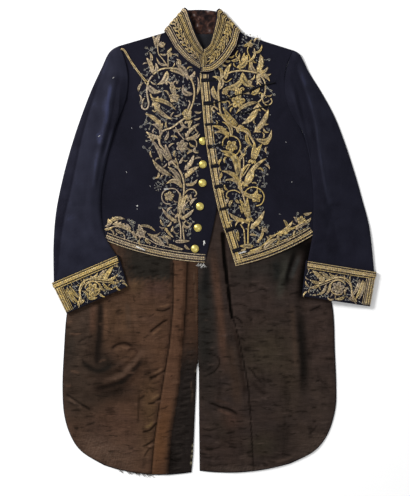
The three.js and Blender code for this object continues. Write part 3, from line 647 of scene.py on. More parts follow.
def sleeve_sheen_and_shade(side, x, y):
    """Painted sheen and painted shade on a sleeve: lighter along the ridges where light catches the pile, darker in the
    shaded creases and beside the armhole, with a faint random mottle.
    """
    px, py = x / 2.33 + 213.75, 241.3 - y / 2.33

    def soft(pts, wl, wr=None, tp=0.2):
        q = catmull([(float(LX(a)), float(LY(b))) for a, b in pts], 8)
        d, sd, t = near_line(x, y, q)
        w = np.where(sd > 0, wl if wr is None else wr, wl) * 2.33
        return np.exp(-((d / w) ** 2)) * ends(t, tp), d * sd, t
    mottle = 0.13 * waves(x, y, 61, 70, 1.0) + 0.06 * waves(x, y, 62, 24, 1.0, (1.0, 0.6)) + 0.06 * waves(x, y, 63, 6, 1.0)
    if side == "right":
        _, sd, _ = soft([(99, 80), (94.6, 92.3), (87.8, 115), (81, 140), (75.3, 167.3), (69.6, 194.5), (65, 212.7), (60.5, 237.7), (57, 272)], 2)
        z = 0.17 + 0.50 * smooth(-1.5, 3.5, sd)
        z = z - 0.16 * np.exp(-((sd / 2.4) ** 2))
        z = z + 0.62 * soft([(111.6, 82), (108.9, 99), (107.5, 115), (107, 128)], 1.8)[0] + 0.30 * soft([(109, 86), (106, 104), (103, 126), (99, 150)], 4.6, 2.6)[0]
        z = z + 0.40 * soft([(98.6, 146), (96.9, 156), (94.6, 174), (93.2, 192)], 2.2)[0] + 0.5 * soft([(97.4, 132), (98.4, 138), (100, 146)], 2.6)[0]
        z = z - 0.70 * soft([(119, 70), (117, 88), (114.6, 106), (111, 124), (107.6, 142)], 3.0, 7.5)[0]
        z = z + 0.28 * soft([(104.6, 166), (101.8, 188), (98.8, 210)], 1.5)[0] - 0.2 * smooth(226, 262, py)
        z = z + 0.16 * soft([(106, 52), (104, 62), (100, 74)], 5.0)[0]
    else:
        line = [(295.8, 62.5), (303.3, 82.5), (310.8, 105), (315.8, 125), (318.3, 145), (322, 170), (325.8, 190), (331, 212)]
        m, sd, t = soft(line, 1.3, 2.8, 0.12)
        z = 0.03 + 0.80 * m + 0.17 * smooth(-2, 6, sd) * (1 - smooth(250, 275, py)) + 0.40 * soft([(298, 62), (303, 74), (307, 88)], 2.6)[0]
        z = z - 0.16 * soft([(a - 3, b + 1) for a, b in line], 3.4, 1.2, 0.15)[0] + 0.22 * soft([(288, 82), (295, 104), (302, 128), (308, 156)], 1.4)[0]
        z = z + 0.14 * soft([(318, 100), (330, 130), (340, 170)], 6.0)[0]
        mottle = mottle * 0.7
    return np.clip(z + mottle, 0, 1.6)


# ------------------------------------------------------------------ cloth pieces
PIECES = []


def keep(ob, slot, *nodes):
    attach(ob, "root")
    if nodes:
        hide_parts(*nodes)
    PIECES.append(ob)
    return ob


# back halves
def back(side):
    s = OUT[side]
    t = TAIL[side]
    low = sample(t, np.linspace(10, 1.0, 60))
    low["inX"] = low["inX"] + s * GAP * 0.5
    shut = smooth(-300, -270, low["inY"])
    low["inX"] = low["inX"] * (1 - shut) + (-36.4 + s * 0.02) * shut
    f, _ = FORE_FINE[side]
    ys = f["sideY"]
    pick = np.where((ys > 60) & (np.diff(np.append(ys, ys[-1] + 1)) > 0))[0][::3]
    pick = np.unique(np.append(pick, len(ys) - 1))
    y = np.minimum(ys[pick], 485.0)
    up = {
        "outX": (f["sideX"] + s * f["lap"])[pick], "outY": y,
        "inX": np.interp(y, CENTRE_SEAM["y"], CENTRE_SEAM["x"]) + s * 0.02, "inY": y.copy(),
    }
    up["inY"][-1] = 485.0
    up["inX"][-1] = CENTRE_SEAM["x"][-1] + s * 0.02
    t = {k: np.concatenate([low[k], up[k]]) for k in up}
    n0 = len(low["inX"])
    bow = np.zeros(len(t["outX"]))
    bow[:n0] = -s * TAIL_HEM_BOW[side] * (1 - smooth(0, 1.4, 10 - np.linspace(10, 1.0, 60)))
    bow[-1] = s * -6
    P = levels(t, "out", "in", rim_shares(260, 7), bow)
    x, yy = P[..., 0], P[..., 1]
    k = rounded(P.shape[:2]) * WOOL * 0.42
    under = np.maximum(0, 0.12 * waves(x, yy, 9, 90, 1.0))
    # the side-back seam shows as a fine groove underneath
    seam = np.stack([np.interp(np.linspace(60, 470, 20), [60, 250, 470], [s * 95 - 34, s * 100 - 34, s * 150 - 34]), np.linspace(60, 470, 20)], 1)
    d, _, _ = near_line(x, yy, seam)
    under = under + 0.7 * np.exp(-((d / 2.4) ** 2))
    low_g = np.dstack([P, np.maximum(0, under * 0.6 + k * 0.9)])
    high_g = np.dstack([P, np.full(x.shape, WOOL) - k])
    ob = slab(f"coat_back_{side}", low_g, high_g, M_WOOL, P)
    keep(ob, "broadcloth", f"back_{side}")
    return ob


for s_ in ("right", "left"):
    back(s_)


# black lining seen inside the neck
rows_ = table(["rightX", "rightY", "leftX", "leftY"], [
    [-236, 86.5, 206, 86.5], [-236, 200, 206, 200], [-196, 300, 172, 300], [-182, 400, 150, 400], [-150, 452, 116, 452], [-114, 489, 62, 489]])
t_, _ = fill(rows_, 12)
P_ = levels(t_, "right", "left", rim_shares(300, 8), -5.0 * smooth(440, 489, t_["rightY"]))
u_ = LINING_Z + 0.0 * P_[..., 0] + 0.35 * np.maximum(0, waves(P_[..., 0], P_[..., 1], 3, 46, 1.0))
u_ = np.minimum(u_, LINING_Z + 0.6) + 0.9 * smooth(470, 482, P_[..., 1])
ob_, a_ = cloth("inner_back_lining", P_, u_, SILK, M_BLACK)
keep(ob_, "body_lining", "back_lining")

# silk tails
SEAM_R = [(173.4, 263), (172.7, 309), (169, 347), (162.6, 384), (157.5, 416), (154, 441), (151, 474)]
FOLD_R = [(186.3, 262), (185.2, 300), (183.5, 327), (179.4, 384), (174.5, 415), (171.2, 434), (168.0, 478)]
PLEAT_L = [(222.5, 238), (226, 272), (229.4, 294), (232.6, 316), (238.8, 339), (247, 379.5), (250, 408), (251.3, 430), (254, 474)]
# each row: line, width, depth, taper; troughs are above zero and ridges below
TAIL_R_FOLDS = [
    ([(109.5, 352), (113, 345), (121, 342.5), (131, 345), (135, 352), (131, 358)], 5.5, 3.4, 0.25),
    ([(121, 349), (127, 350), (131, 353)], 5.0, -2.6, 0.3),
    ([(144, 352), (136, 361), (126, 372), (112, 380), (92, 386)], 7.5, 4.6, 0.18),
    ([(150, 350), (141, 366), (131, 379), (118, 388), (100, 392)], 6.0, -3.2, 0.25),
    ([(140, 347), (131, 357), (120, 366), (108, 371), (96, 372)], 5.5, -3.2, 0.25),
    ([(99, 304), (98.5, 330), (98, 352), (97, 370)], 8.0, 3.6, 0.25),
    ([(92, 300), (91, 330), (88, 356)], 8.0, -1.8, 0.3),
    ([(108, 306), (107, 330), (106, 345)], 9.0, -1.8, 0.3),
    ([(79, 358), (86, 366), (93, 371), (99, 374)], 4.0, 2.6, 0.25),
    ([(76, 364), (84, 373), (92, 378)], 5.0, -1.8, 0.3),
    ([(66, 391), (76, 399), (88, 409), (96, 414)], 3.6, 2.5, 0.25),
    ([(66, 397), (76, 406), (86, 414)], 5.0, -1.6, 0.3),
    ([(82, 418), (90, 417), (98, 418)], 3.0, 1.2, 0.3), ([(80, 433), (88, 432), (95, 434)], 3.0, 1.1, 0.3),
    ([(96, 443), (103, 444), (110, 443)], 3.0, 1.1, 0.3), ([(137, 396), (136, 412), (136, 428)], 2.4, 1.0, 0.3),
    ([(140, 446), (142, 458), (140, 472)], 4.5, 1.6, 0.3), ([(68, 352), (75, 356), (82, 355)], 4.0, 1.0, 0.3),
    ([(118, 268), (130, 272), (144, 270)], 6.0, 1.6, 0.3), ([(120, 283), (134, 287), (150, 285)], 7.0, -1.6, 0.3),
    ([(126, 298), (140, 301), (158, 299)], 7.0, 1.1, 0.3), ([(140, 318), (150, 330), (158, 346)], 7.0, -1.0, 0.3),
]
PUCKERS_R = [
    ([(155, 309), (163, 309.5), (171, 309)], 2.0, 1.8, 0.25), ([(150, 331), (160, 325), (168, 319.5)], 2.2, 1.9, 0.25),
    ([(153, 300), (162, 298), (170, 296)], 2.0, 0.8, 0.25), ([(152, 344), (160, 340), (167, 336)], 2.0, 0.9, 0.25),
    ([(148, 379), (155, 377), (164, 372)], 2.2, 1.8, 0.25), ([(146, 366), (154, 362), (164, 357)], 2.2, 0.9, 0.25),
    ([(145, 405), (152, 403), (160, 399)], 2.2, 1.8, 0.25), ([(144, 392), (152, 390), (161, 386)], 2.2, 0.8, 0.25),
    ([(142, 432), (149, 431), (155.5, 425)], 2.4, 1.9, 0.25), ([(142, 419), (149, 417), (157, 412)], 2.2, 0.9, 0.25),
    ([(143, 452), (148, 446), (153, 441)], 2.4, 1.4, 0.25),
    ([(180, 402), (187, 400), (193, 396)], 2.2, 1.3, 0.25), ([(178, 419), (185, 417), (190, 414)], 2.2, 1.3, 0.25),
    ([(186, 374), (190, 374), (195, 372)], 2.0, 0.9, 0.25), ([(186, 340), (190, 339), (195, 340)], 2.0, 0.8, 0.25),
    ([(189, 320), (193, 319), (197, 320)], 1.6, 0.8, 0.25), ([(189, 331), (193, 330), (197, 330)], 1.6, 0.8, 0.25),
    ([(188, 350), (192, 349), (196, 350)], 1.6, 0.8, 0.25), ([(188, 358), (192, 357), (196, 358)], 1.6, 0.8, 0.25),
]
TAIL_L_FOLDS = [
    ([(224, 240), (227, 272), (230, 296), (233.5, 318)], 4.5, 3.6, 0.2),
    ([(217, 240), (219, 275), (222, 310), (229, 350), (236, 400)], 9.0, -2.2, 0.25),
    ([(292, 300), (294, 330), (297, 360), (300, 400)], 9.0, -1.8, 0.25),
    ([(270, 246), (282, 258), (290, 274), (294, 292)], 7.0, 2.8, 0.25),
    ([(280, 246), (294, 252), (304, 246)], 6.0, -3.0, 0.25), ([(276, 262), (290, 268), (300, 258)], 5.0, 2.4, 0.25),
    ([(272, 272), (284, 282), (296, 276)], 7.0, -2.6, 0.25), ([(262, 268), (272, 284), (276, 300)], 7.0, -1.8, 0.3),
    ([(250, 262), (258, 276), (262, 292)], 7.0, 1.6, 0.3),
    ([(208, 404), (216, 406), (223, 409), (233, 415)], 2.6, 2.2, 0.25), ([(210, 399), (220, 402), (232, 408)], 4.5, -1.0, 0.3),
    ([(246, 376), (254, 381), (262, 388)], 2.6, 1.5, 0.25), ([(234, 315), (244, 316), (256, 322)], 2.6, 1.5, 0.25),
    ([(232, 305), (240, 304), (249, 306)], 2.4, 1.1, 0.25), ([(233, 288), (240, 287), (248, 288)], 2.4, 0.9, 0.25),
    ([(200, 372), (208, 371), (216, 366)], 2.4, 1.1, 0.25), ([(200, 384), (208, 383), (216, 384)], 2.4, 1.0, 0.25),
    ([(200, 428), (210, 430), (222, 428)], 2.6, 1.1, 0.25), ([(200, 446), (212, 448), (226, 445)], 2.6, 1.1, 0.25),
    ([(201, 458), (214, 461), (228, 459)], 2.6, 1.0, 0.25), ([(255, 452), (272, 458), (292, 452), (308, 440)], 5.0, 1.3, 0.3),
    ([(258, 462), (276, 464), (296, 458)], 3.6, -1.2, 0.3), ([(306, 308), (314, 312), (326, 308)], 4.0, 1.3, 0.3),
    ([(318, 376), (324, 384), (331, 386)], 3.0, 1.0, 0.3), ([(300, 438), (308, 430), (318, 426)], 3.6, 1.0, 0.3),
]


def crinkles(side, seed, n):
    """Short uneven puckers all over the silk, mostly level."""
    r = np.random.default_rng(seed)
    out = []
    spans = ((66, 196), (270, 468)) if side == "right" else ((200, 332), (280, 468))
    for _ in range(n):
        cx, cy = r.uniform(*spans[0]), r.uniform(*spans[1])
        L, a = r.uniform(3.5, 13), r.normal(0.0, 0.16) + (-0.35 if side == "right" and 140 < cx < 170 else 0.0)
        bow = r.uniform(-1.6, 1.6)
        pts = [(cx + L * (t - 0.5) * math.cos(a), cy + L * (t - 0.5) * math.sin(a) + bow * 4 * t * (1 - t)) for t in (0, 0.33, 0.67, 1)]
        out.append((pts, r.uniform(1.5, 3.6), r.choice([-1, 1, 1]) * r.uniform(0.3, 0.9)))
    return out


CRINKLES = {"right": crinkles("right", 301, 110), "left": crinkles("left", 302, 150)}


def tail_relief(side, x, y):
    live = 1 - smooth(LY(268), LY(250), y)   # the silk lies flat where the fronts cover it
    z = np.zeros(x.shape)
    for pts, w, d, tp in TAIL_R_FOLDS + PUCKERS_R if side == "right" else TAIL_L_FOLDS:
        z = z + trough(x, y, pts, w * (1.1 if w > 4 else 0.9), d * 0.9, tp)
    for pts, w, d in CRINKLES[side]:
        z = z + trough(x, y, pts, w, d, 0.3)
    if side == "right":
        z = z + step(x, y, [(a, b) for a, b in SEAM_R], 1.7, 2.6, 30, 0.04)
        z = z - trough(x, y, SEAM_R, 1.7, 0.0)
        z = z + trough(x, y, SEAM_R, 2.2, 1.2, 0.04)
        z = z + 0.9 * step(x, y, FOLD_R[::-1], 2.0, 2.6, 9, 0.04)
        z = z + trough(x, y, FOLD_R, 2.6, 1.2, 0.04)
        z = z + 0.5 * waves(x, y, 31, 60, 1.0, (1.0, 1.0)) + 0.16 * waves(x, y, 32, 17, 1.0, (0.6, 1.6), 14)
    else:
        z = z + step(x, y, PLEAT_L, 2.0, 2.8, 34, 0.04)
        z = z + trough(x, y, PLEAT_L, 2.2, 1.5, 0.04)
        z = z + 0.5 * waves(x, y, 41, 64, 1.0) + 0.20 * waves(x, y, 42, 15, 1.0, (0.35, 1.8), 16)
    return z * live, live


def shade_of(r, g, b):
    """The stored colour that shows as this colour under the studio light."""
    return (np.array([r, g, b]) / 255.0) ** 2.2 / SILK_LIGHT


SILK_LIGHT = 1.02
# dark colours for painted shade: the blackest for the pleat and deep creases, the next for the troughs of small
# puckers, the greenish one for the shadow under the front's hem
BLACK, CREASE_SHADE, GREEN_BLACK = (8, 7, 7), (22, 19, 17), (33, 33, 31)
# each stroke paints colour along a line, mostly painted shade in creases and folds and painted highlights on ridges, a
# few the silk's own streaks: line, width to viewer's left and right of it (in grid steps), colour, strength, taper
LIGHT_AND_SHADE_STROKES_R = [
    ([(150, 262), (156, 264), (161, 263)], 1.0, 1.0, BLACK, 0.7, 0.3), ([(147, 269), (153, 271), (160, 270)], 1.0, 1.0, BLACK, 0.7, 0.3),
    ([(134, 272), (140, 273), (146, 270)], 1.2, 1.2, BLACK, 0.6, 0.3), ([(126, 266), (132, 268), (139, 266)], 1.4, 1.4, BLACK, 0.5, 0.3),
    ([(164, 266), (168, 267), (171, 266)], 0.9, 0.9, BLACK, 0.6, 0.3), ([(150, 277), (158, 279), (168, 278)], 1.0, 1.0, (58, 52, 44), 0.5, 0.3),
    ([(92.5, 298), (92.5, 318), (92, 338)], 3.0, 3.0, (88, 65, 53), 0.65, 0.3),
    ([(100.2, 299), (99.4, 318), (98.6, 336), (96.6, 352), (97.5, 368)], 2.4, 4.2, (27, 23, 21), 0.9, 0.12),
    ([(110, 351), (114.4, 346), (121, 343.4), (128, 344.2), (134, 348)], 1.6, 1.6, (26, 19, 16), 0.95, 0.18),
    ([(112.6, 354), (117.6, 349.6), (124.6, 348), (130, 351)], 2.0, 2.0, (82, 62, 49), 0.6, 0.3),
    ([(126, 352.4), (131, 349), (137, 351.6), (135, 356)], 1.0, 1.0, (34, 24, 20), 0.75, 0.25),
    ([(79, 358.6), (86.7, 366), (96, 371), (106, 368.6), (114, 361)], 3.0, 3.0, (26, 24, 22), 0.9, 0.2),
    ([(146, 346), (139.6, 355.4), (133, 363), (126, 371), (117, 377.6), (107, 380), (98, 381)], 3.0, 3.0, (80, 63, 53), 0.7, 0.3),
    ([(144.6, 356), (136.6, 367), (129, 375.6), (120, 382), (110, 385.6), (99, 388), (89.6, 390)], 2.6, 3.6, (23, 18, 16), 0.95, 0.15),
    ([(128, 384), (120, 390), (108, 393), (94, 395)], 4.0, 4.0, (38, 31, 27), 0.8, 0.3),
    ([(90, 385), (97, 384), (104, 383)], 1.0, 1.0, (20, 18, 16), 0.8, 0.3),
    ([(92, 394), (102, 397), (112, 396)], 1.1, 1.1, (22, 19, 17), 0.7, 0.3),
    ([(64.2, 392.6), (72.3, 398.8), (82, 405), (92, 411)], 1.1, 1.1, (20, 17, 15), 0.98, 0.12),
    ([(66, 396.6), (74, 402.6), (83, 408.6)], 1.4, 1.4, (88, 72, 62), 0.6, 0.3),
    ([(67, 402), (74, 405), (81, 406)], 0.9, 0.9, (30, 25, 22), 0.7, 0.3),
    ([(138.6, 389), (138.4, 406), (137.6, 426)], 0.9, 0.9, (36, 27, 21), 0.8, 0.2),
    ([(143, 455), (143.6, 463), (141, 472)], 2.0, 3.0, (44, 33, 27), 0.7, 0.3),
    ([(83, 418), (89, 416.6), (96, 418)], 1.0, 1.0, (30, 25, 22), 0.7, 0.3), ([(84, 432), (90, 431), (96, 432.6)], 0.9, 0.9, (34, 28, 24), 0.6, 0.3),
    ([(68, 352), (74, 355), (80, 354)], 0.9, 0.9, (30, 27, 24), 0.6, 0.3), ([(70, 330), (78, 333), (84, 331)], 0.9, 0.9, (40, 35, 31), 0.5, 0.3),
    ([(149, 333), (153, 329.6), (158.8, 325.2), (163, 322), (169, 319.4)], 0.9, 1.2, (22, 16, 13), 0.98, 0.12),
    ([(150, 336), (156, 331.6), (163, 327)], 1.2, 1.2, (104, 78, 60), 0.6, 0.3),
    ([(155, 309.6), (162.7, 311), (171.4, 307.4)], 1.0, 1.2, (20, 15, 12), 0.98, 0.12), ([(158, 306), (164, 306.6), (170, 303.6)], 1.1, 1.1, (100, 76, 58), 0.5, 0.3),
    ([(148.3, 378.4), (157, 375.4), (166, 370)], 1.0, 1.2, (22, 16, 13), 0.98, 0.12), ([(152, 374.4), (158, 371.6), (164, 367.6)], 1.0, 1.0, (104, 80, 62), 0.55, 0.3),
    ([(150.4, 384), (156, 383), (161, 381.4)], 0.9, 0.9, (34, 26, 21), 0.7, 0.3), ([(146, 366), (153, 363), (161, 359.6)], 0.9, 0.9, (44, 33, 27), 0.5, 0.3),
    ([(147, 404.4), (154, 403), (161.4, 397.6)], 1.0, 1.3, (22, 16, 13), 0.98, 0.12), ([(149, 400), (155, 397.4), (160, 393.6)], 1.0, 1.0, (102, 80, 58), 0.5, 0.3),
    ([(141.5, 432.4), (149, 431), (153, 427.4), (157.4, 422)], 1.0, 1.3, (24, 18, 13), 0.98, 0.12), ([(143, 428), (149, 426.4), (154, 420.6)], 1.1, 1.1, (100, 82, 54), 0.5, 0.3),
    ([(141, 447.4), (147, 445), (155, 439.6)], 0.9, 1.2, (26, 20, 16), 0.9, 0.2), ([(145, 418), (150, 416.4), (156, 412)], 0.8, 0.8, (40, 30, 22), 0.6, 0.3),
    ([(143, 459), (147, 452), (151, 447)], 0.9, 0.9, (28, 21, 17), 0.8, 0.3), ([(150, 392), (156, 390), (161, 386.4)], 0.7, 0.7, (44, 33, 26), 0.6, 0.3),
    ([(126, 297), (128, 314), (129, 334)], 2.6, 2.6, (66, 54, 46), 0.5, 0.3), ([(134, 300), (135, 320), (137, 338)], 2.0, 2.0, (84, 64, 52), 0.45, 0.3),
    ([(104, 300), (106, 322), (104, 342)], 2.0, 2.0, (84, 62, 48), 0.5, 0.3), ([(119, 300), (118, 316), (120, 334)], 2.0, 2.0, (62, 47, 38), 0.45, 0.3),
]
LIGHT_AND_SHADE_STROKES_L = [
    ([(211, 236), (215, 267), (219, 300), (221.6, 325), (223.4, 350), (226, 384)], 4.6, 3.8, (69, 51, 42), 0.85, 0.3),
    ([(226, 336), (231, 360), (236, 386), (238, 412)], 5.4, 5.4, (57, 45, 38), 0.7, 0.25),
    ([(206, 262), (206, 278), (204, 296)], 4.0, 4.0, (25, 25, 25), 0.9, 0.25),
    ([(234, 324), (238.4, 345), (243, 372), (246, 398)], 3.0, 0.8, (36, 28, 25), 0.7, 0.15),
    ([(232, 316), (236.4, 317.6), (240.6, 321), (243, 325)], 0.9, 0.9, BLACK, 0.95, 0.2),
    ([(231, 305), (238, 304), (244, 305.4), (249, 307.6)], 0.8, 0.8, (26, 21, 20), 0.8, 0.25),
    ([(230, 283), (237, 283.6), (242, 282.6)], 0.8, 0.8, (28, 24, 23), 0.7, 0.3), ([(233, 295), (240, 296), (247, 294)], 0.7, 0.7, (30, 26, 24), 0.6, 0.3),
    ([(201, 341), (208, 343), (215, 341.4)], 0.8, 0.8, (20, 18, 17), 0.7, 0.25), ([(200, 327), (208, 329), (217, 330.4)], 0.7, 0.7, (22, 20, 19), 0.6, 0.25),
    ([(203, 355), (211, 354.4), (217.4, 357), (219.6, 363), (215, 371), (206, 376), (200, 377)], 0.8, 0.8, (18, 16, 15), 0.85, 0.15),
    ([(201, 361), (207, 361.6), (211, 365), (208, 370), (201, 371.4)], 0.7, 0.7, (22, 19, 18), 0.7, 0.2),
    ([(201, 385), (210, 387), (219, 385)], 0.7, 0.7, (24, 20, 19), 0.6, 0.25), ([(200, 392), (207, 391), (214, 393)], 0.7, 0.7, (24, 20, 19), 0.6, 0.25),
    ([(207, 402.6), (214, 404.6), (221, 407.4), (229, 409.4), (236, 413.6), (238, 417)], 1.1, 1.1, (15, 12, 11), 0.98, 0.15),
    ([(216, 409), (224, 412.4), (233, 417)], 1.5, 1.5, (76, 58, 50), 0.6, 0.3), ([(212, 400), (222, 402), (232, 405)], 1.4, 1.4, (60, 47, 41), 0.5, 0.3),
    ([(246, 366), (252, 371), (257, 378), (264, 383)], 0.9, 0.9, (22, 18, 17), 0.85, 0.2), ([(248, 380), (255, 385), (262, 392), (270, 395)], 2.2, 2.2, (34, 28, 26), 0.7, 0.3),
    ([(244, 348), (252, 351), (262, 350)], 0.7, 0.7, (28, 23, 22), 0.6, 0.3), ([(242, 334), (252, 338), (264, 344), (272, 345)], 0.8, 0.8, (32, 27, 25), 0.5, 0.3),
    ([(272, 258), (277, 270), (276, 284)], 4.0, 4.0, (28, 29, 28), 0.85, 0.3),
    ([(287.6, 253), (285, 270), (281, 288), (277.6, 304)], 4.0, 3.6, (55, 54, 49), 0.75, 0.35),
    ([(297, 245), (292, 261), (288, 274), (284.4, 290)], 2.7, 2.7, (14, 14, 14), 0.95, 0.28),
    ([(301.4, 252), (297, 263), (293, 273), (290, 283)], 2.4, 2.4, (48, 49, 48), 0.75, 0.35),
    ([(312, 236), (306.4, 262), (303, 282), (301.4, 304)], 5.4, 7.0, (8, 8, 9), 1.0, 0.14),
    ([(292, 296), (293.6, 326), (295.4, 352), (298, 380)], 2.8, 2.4, (60, 49, 42), 0.7, 0.3),
    ([(298.6, 290), (299.6, 318), (301.4, 342), (303, 366), (303.4, 386), (302, 410)], 3.4, 6.4, (21, 20, 19), 0.92, 0.34),
    ([(308.4, 312), (314.2, 309), (322.4, 305)], 0.9, 0.9, (16, 14, 14), 0.95, 0.2), ([(314, 324), (320, 322), (327, 322.6)], 0.7, 0.7, (26, 22, 22), 0.6, 0.3),
    ([(308, 436), (314, 430), (319, 423)], 1.0, 1.0, (28, 23, 22), 0.7, 0.3), ([(318, 376), (324, 383), (331, 386)], 0.8, 0.8, (28, 23, 22), 0.6, 0.3),
    ([(200, 428), (209, 430.6), (220, 428.4)], 0.8, 0.8, (22, 18, 17), 0.75, 0.25), ([(200, 437), (207, 436), (214, 438.4)], 0.8, 0.8, (24, 20, 19), 0.7, 0.3),
    ([(201, 446), (212, 449), (224, 446)], 0.8, 0.8, (22, 18, 17), 0.75, 0.25), ([(201, 456), (208, 458), (216, 456)], 0.8, 0.8, (24, 20, 18), 0.7, 0.3),
    ([(204, 464), (214, 466), (226, 464)], 0.8, 0.8, (24, 20, 18), 0.7, 0.3), ([(222, 440), (230, 444), (239, 446)], 0.8, 0.8, (26, 21, 20), 0.7, 0.3),
    ([(262, 461), (274, 462), (288, 459), (300, 452)], 1.6, 1.6, (72, 60, 53), 0.5, 0.3), ([(257, 455), (270, 458), (282, 456)], 1.2, 1.2, (36, 30, 28), 0.6, 0.3),
]
# each patch: centre, half sizes (in grid steps), colour, strength; most are the silk's uneven colour, the darkest are
# painted shade in hollows, under the front's hem and beside the sleeve
TONE_AND_SHADE_BLOBS_R = [
    (78, 350, 20, 60, (57, 48, 42), 0.8), (82, 388, 20, 30, (54, 45, 39), 0.7), (108, 374, 18, 12, (42, 34, 30), 0.7),
    (70, 346, 6, 16, (42, 38, 34), 0.75), (66, 372, 7, 20, (48, 41, 37), 0.7), (72, 402, 12, 18, (52, 43, 37), 0.6), (104, 362, 11, 8, (34, 30, 27), 0.85),
    (98, 340, 5, 16, (32, 28, 26), 0.8), (116, 392, 22, 9, (40, 32, 28), 0.75), (96, 400, 14, 6, (44, 37, 32), 0.6), (120, 320, 16, 20, (74, 56, 43), 0.7),
    (137, 286, 8, 7, (84, 66, 48), 0.6), (155, 288, 12, 9, (74, 56, 51), 0.6), (150, 304, 14, 8, (74, 55, 43), 0.5), (150, 412, 9, 26, (78, 60, 43), 0.7),
    (146, 446, 7, 12, (77, 60, 44), 0.5), (120, 426, 22, 16, (72, 54, 45), 0.6), (118, 450, 30, 12, (78, 60, 50), 0.6), (96, 436, 14, 14, (64, 50, 43), 0.6),
    (160, 352, 8, 20, (78, 57, 44), 0.6), (134, 374, 8, 6, (64, 48, 40), 0.5), (86, 320, 8, 20, (60, 50, 44), 0.5), (80, 302, 10, 9, (54, 46, 40), 0.5),
]
TONE_AND_SHADE_BLOBS_L = [
    (301, 246, 15, 9, (9, 9, 10), 0.97), (288, 251, 8, 5, (20, 19, 18), 0.8), (205, 300, 9, 34, (33, 34, 33), 0.95), (205, 345, 10, 34, (35, 34, 32), 0.9), (206, 386, 10, 16, (42, 37, 34), 0.7), (250, 292, 24, 36, (55, 46, 43), 0.7),
    (243, 274, 12, 12, (42, 38, 35), 0.7), (262, 268, 16, 9, (40, 38, 36), 0.7), (282, 268, 12, 20, (33, 34, 32), 0.8), (252, 322, 14, 16, (46, 38, 35), 0.6),
    (266, 352, 22, 22, (56, 50, 40), 0.6), (288, 380, 12, 34, (55, 47, 39), 0.6), (272, 398, 16, 18, (52, 44, 41), 0.6), (283, 440, 13, 15, (36, 31, 29), 0.75),
    (258, 410, 10, 18, (46, 39, 36), 0.5), (228, 448, 14, 14, (50, 40, 36), 0.6), (222, 428, 10, 10, (44, 38, 33), 0.6), (318, 336, 14, 30, (58, 47, 43), 0.6),
    (320, 400, 12, 26, (58, 49, 44), 0.6), (306, 440, 12, 12, (62, 52, 46), 0.6), (232, 420, 8, 8, (66, 49, 42), 0.6), (262, 446, 12, 10, (52, 48, 38), 0.5),
]
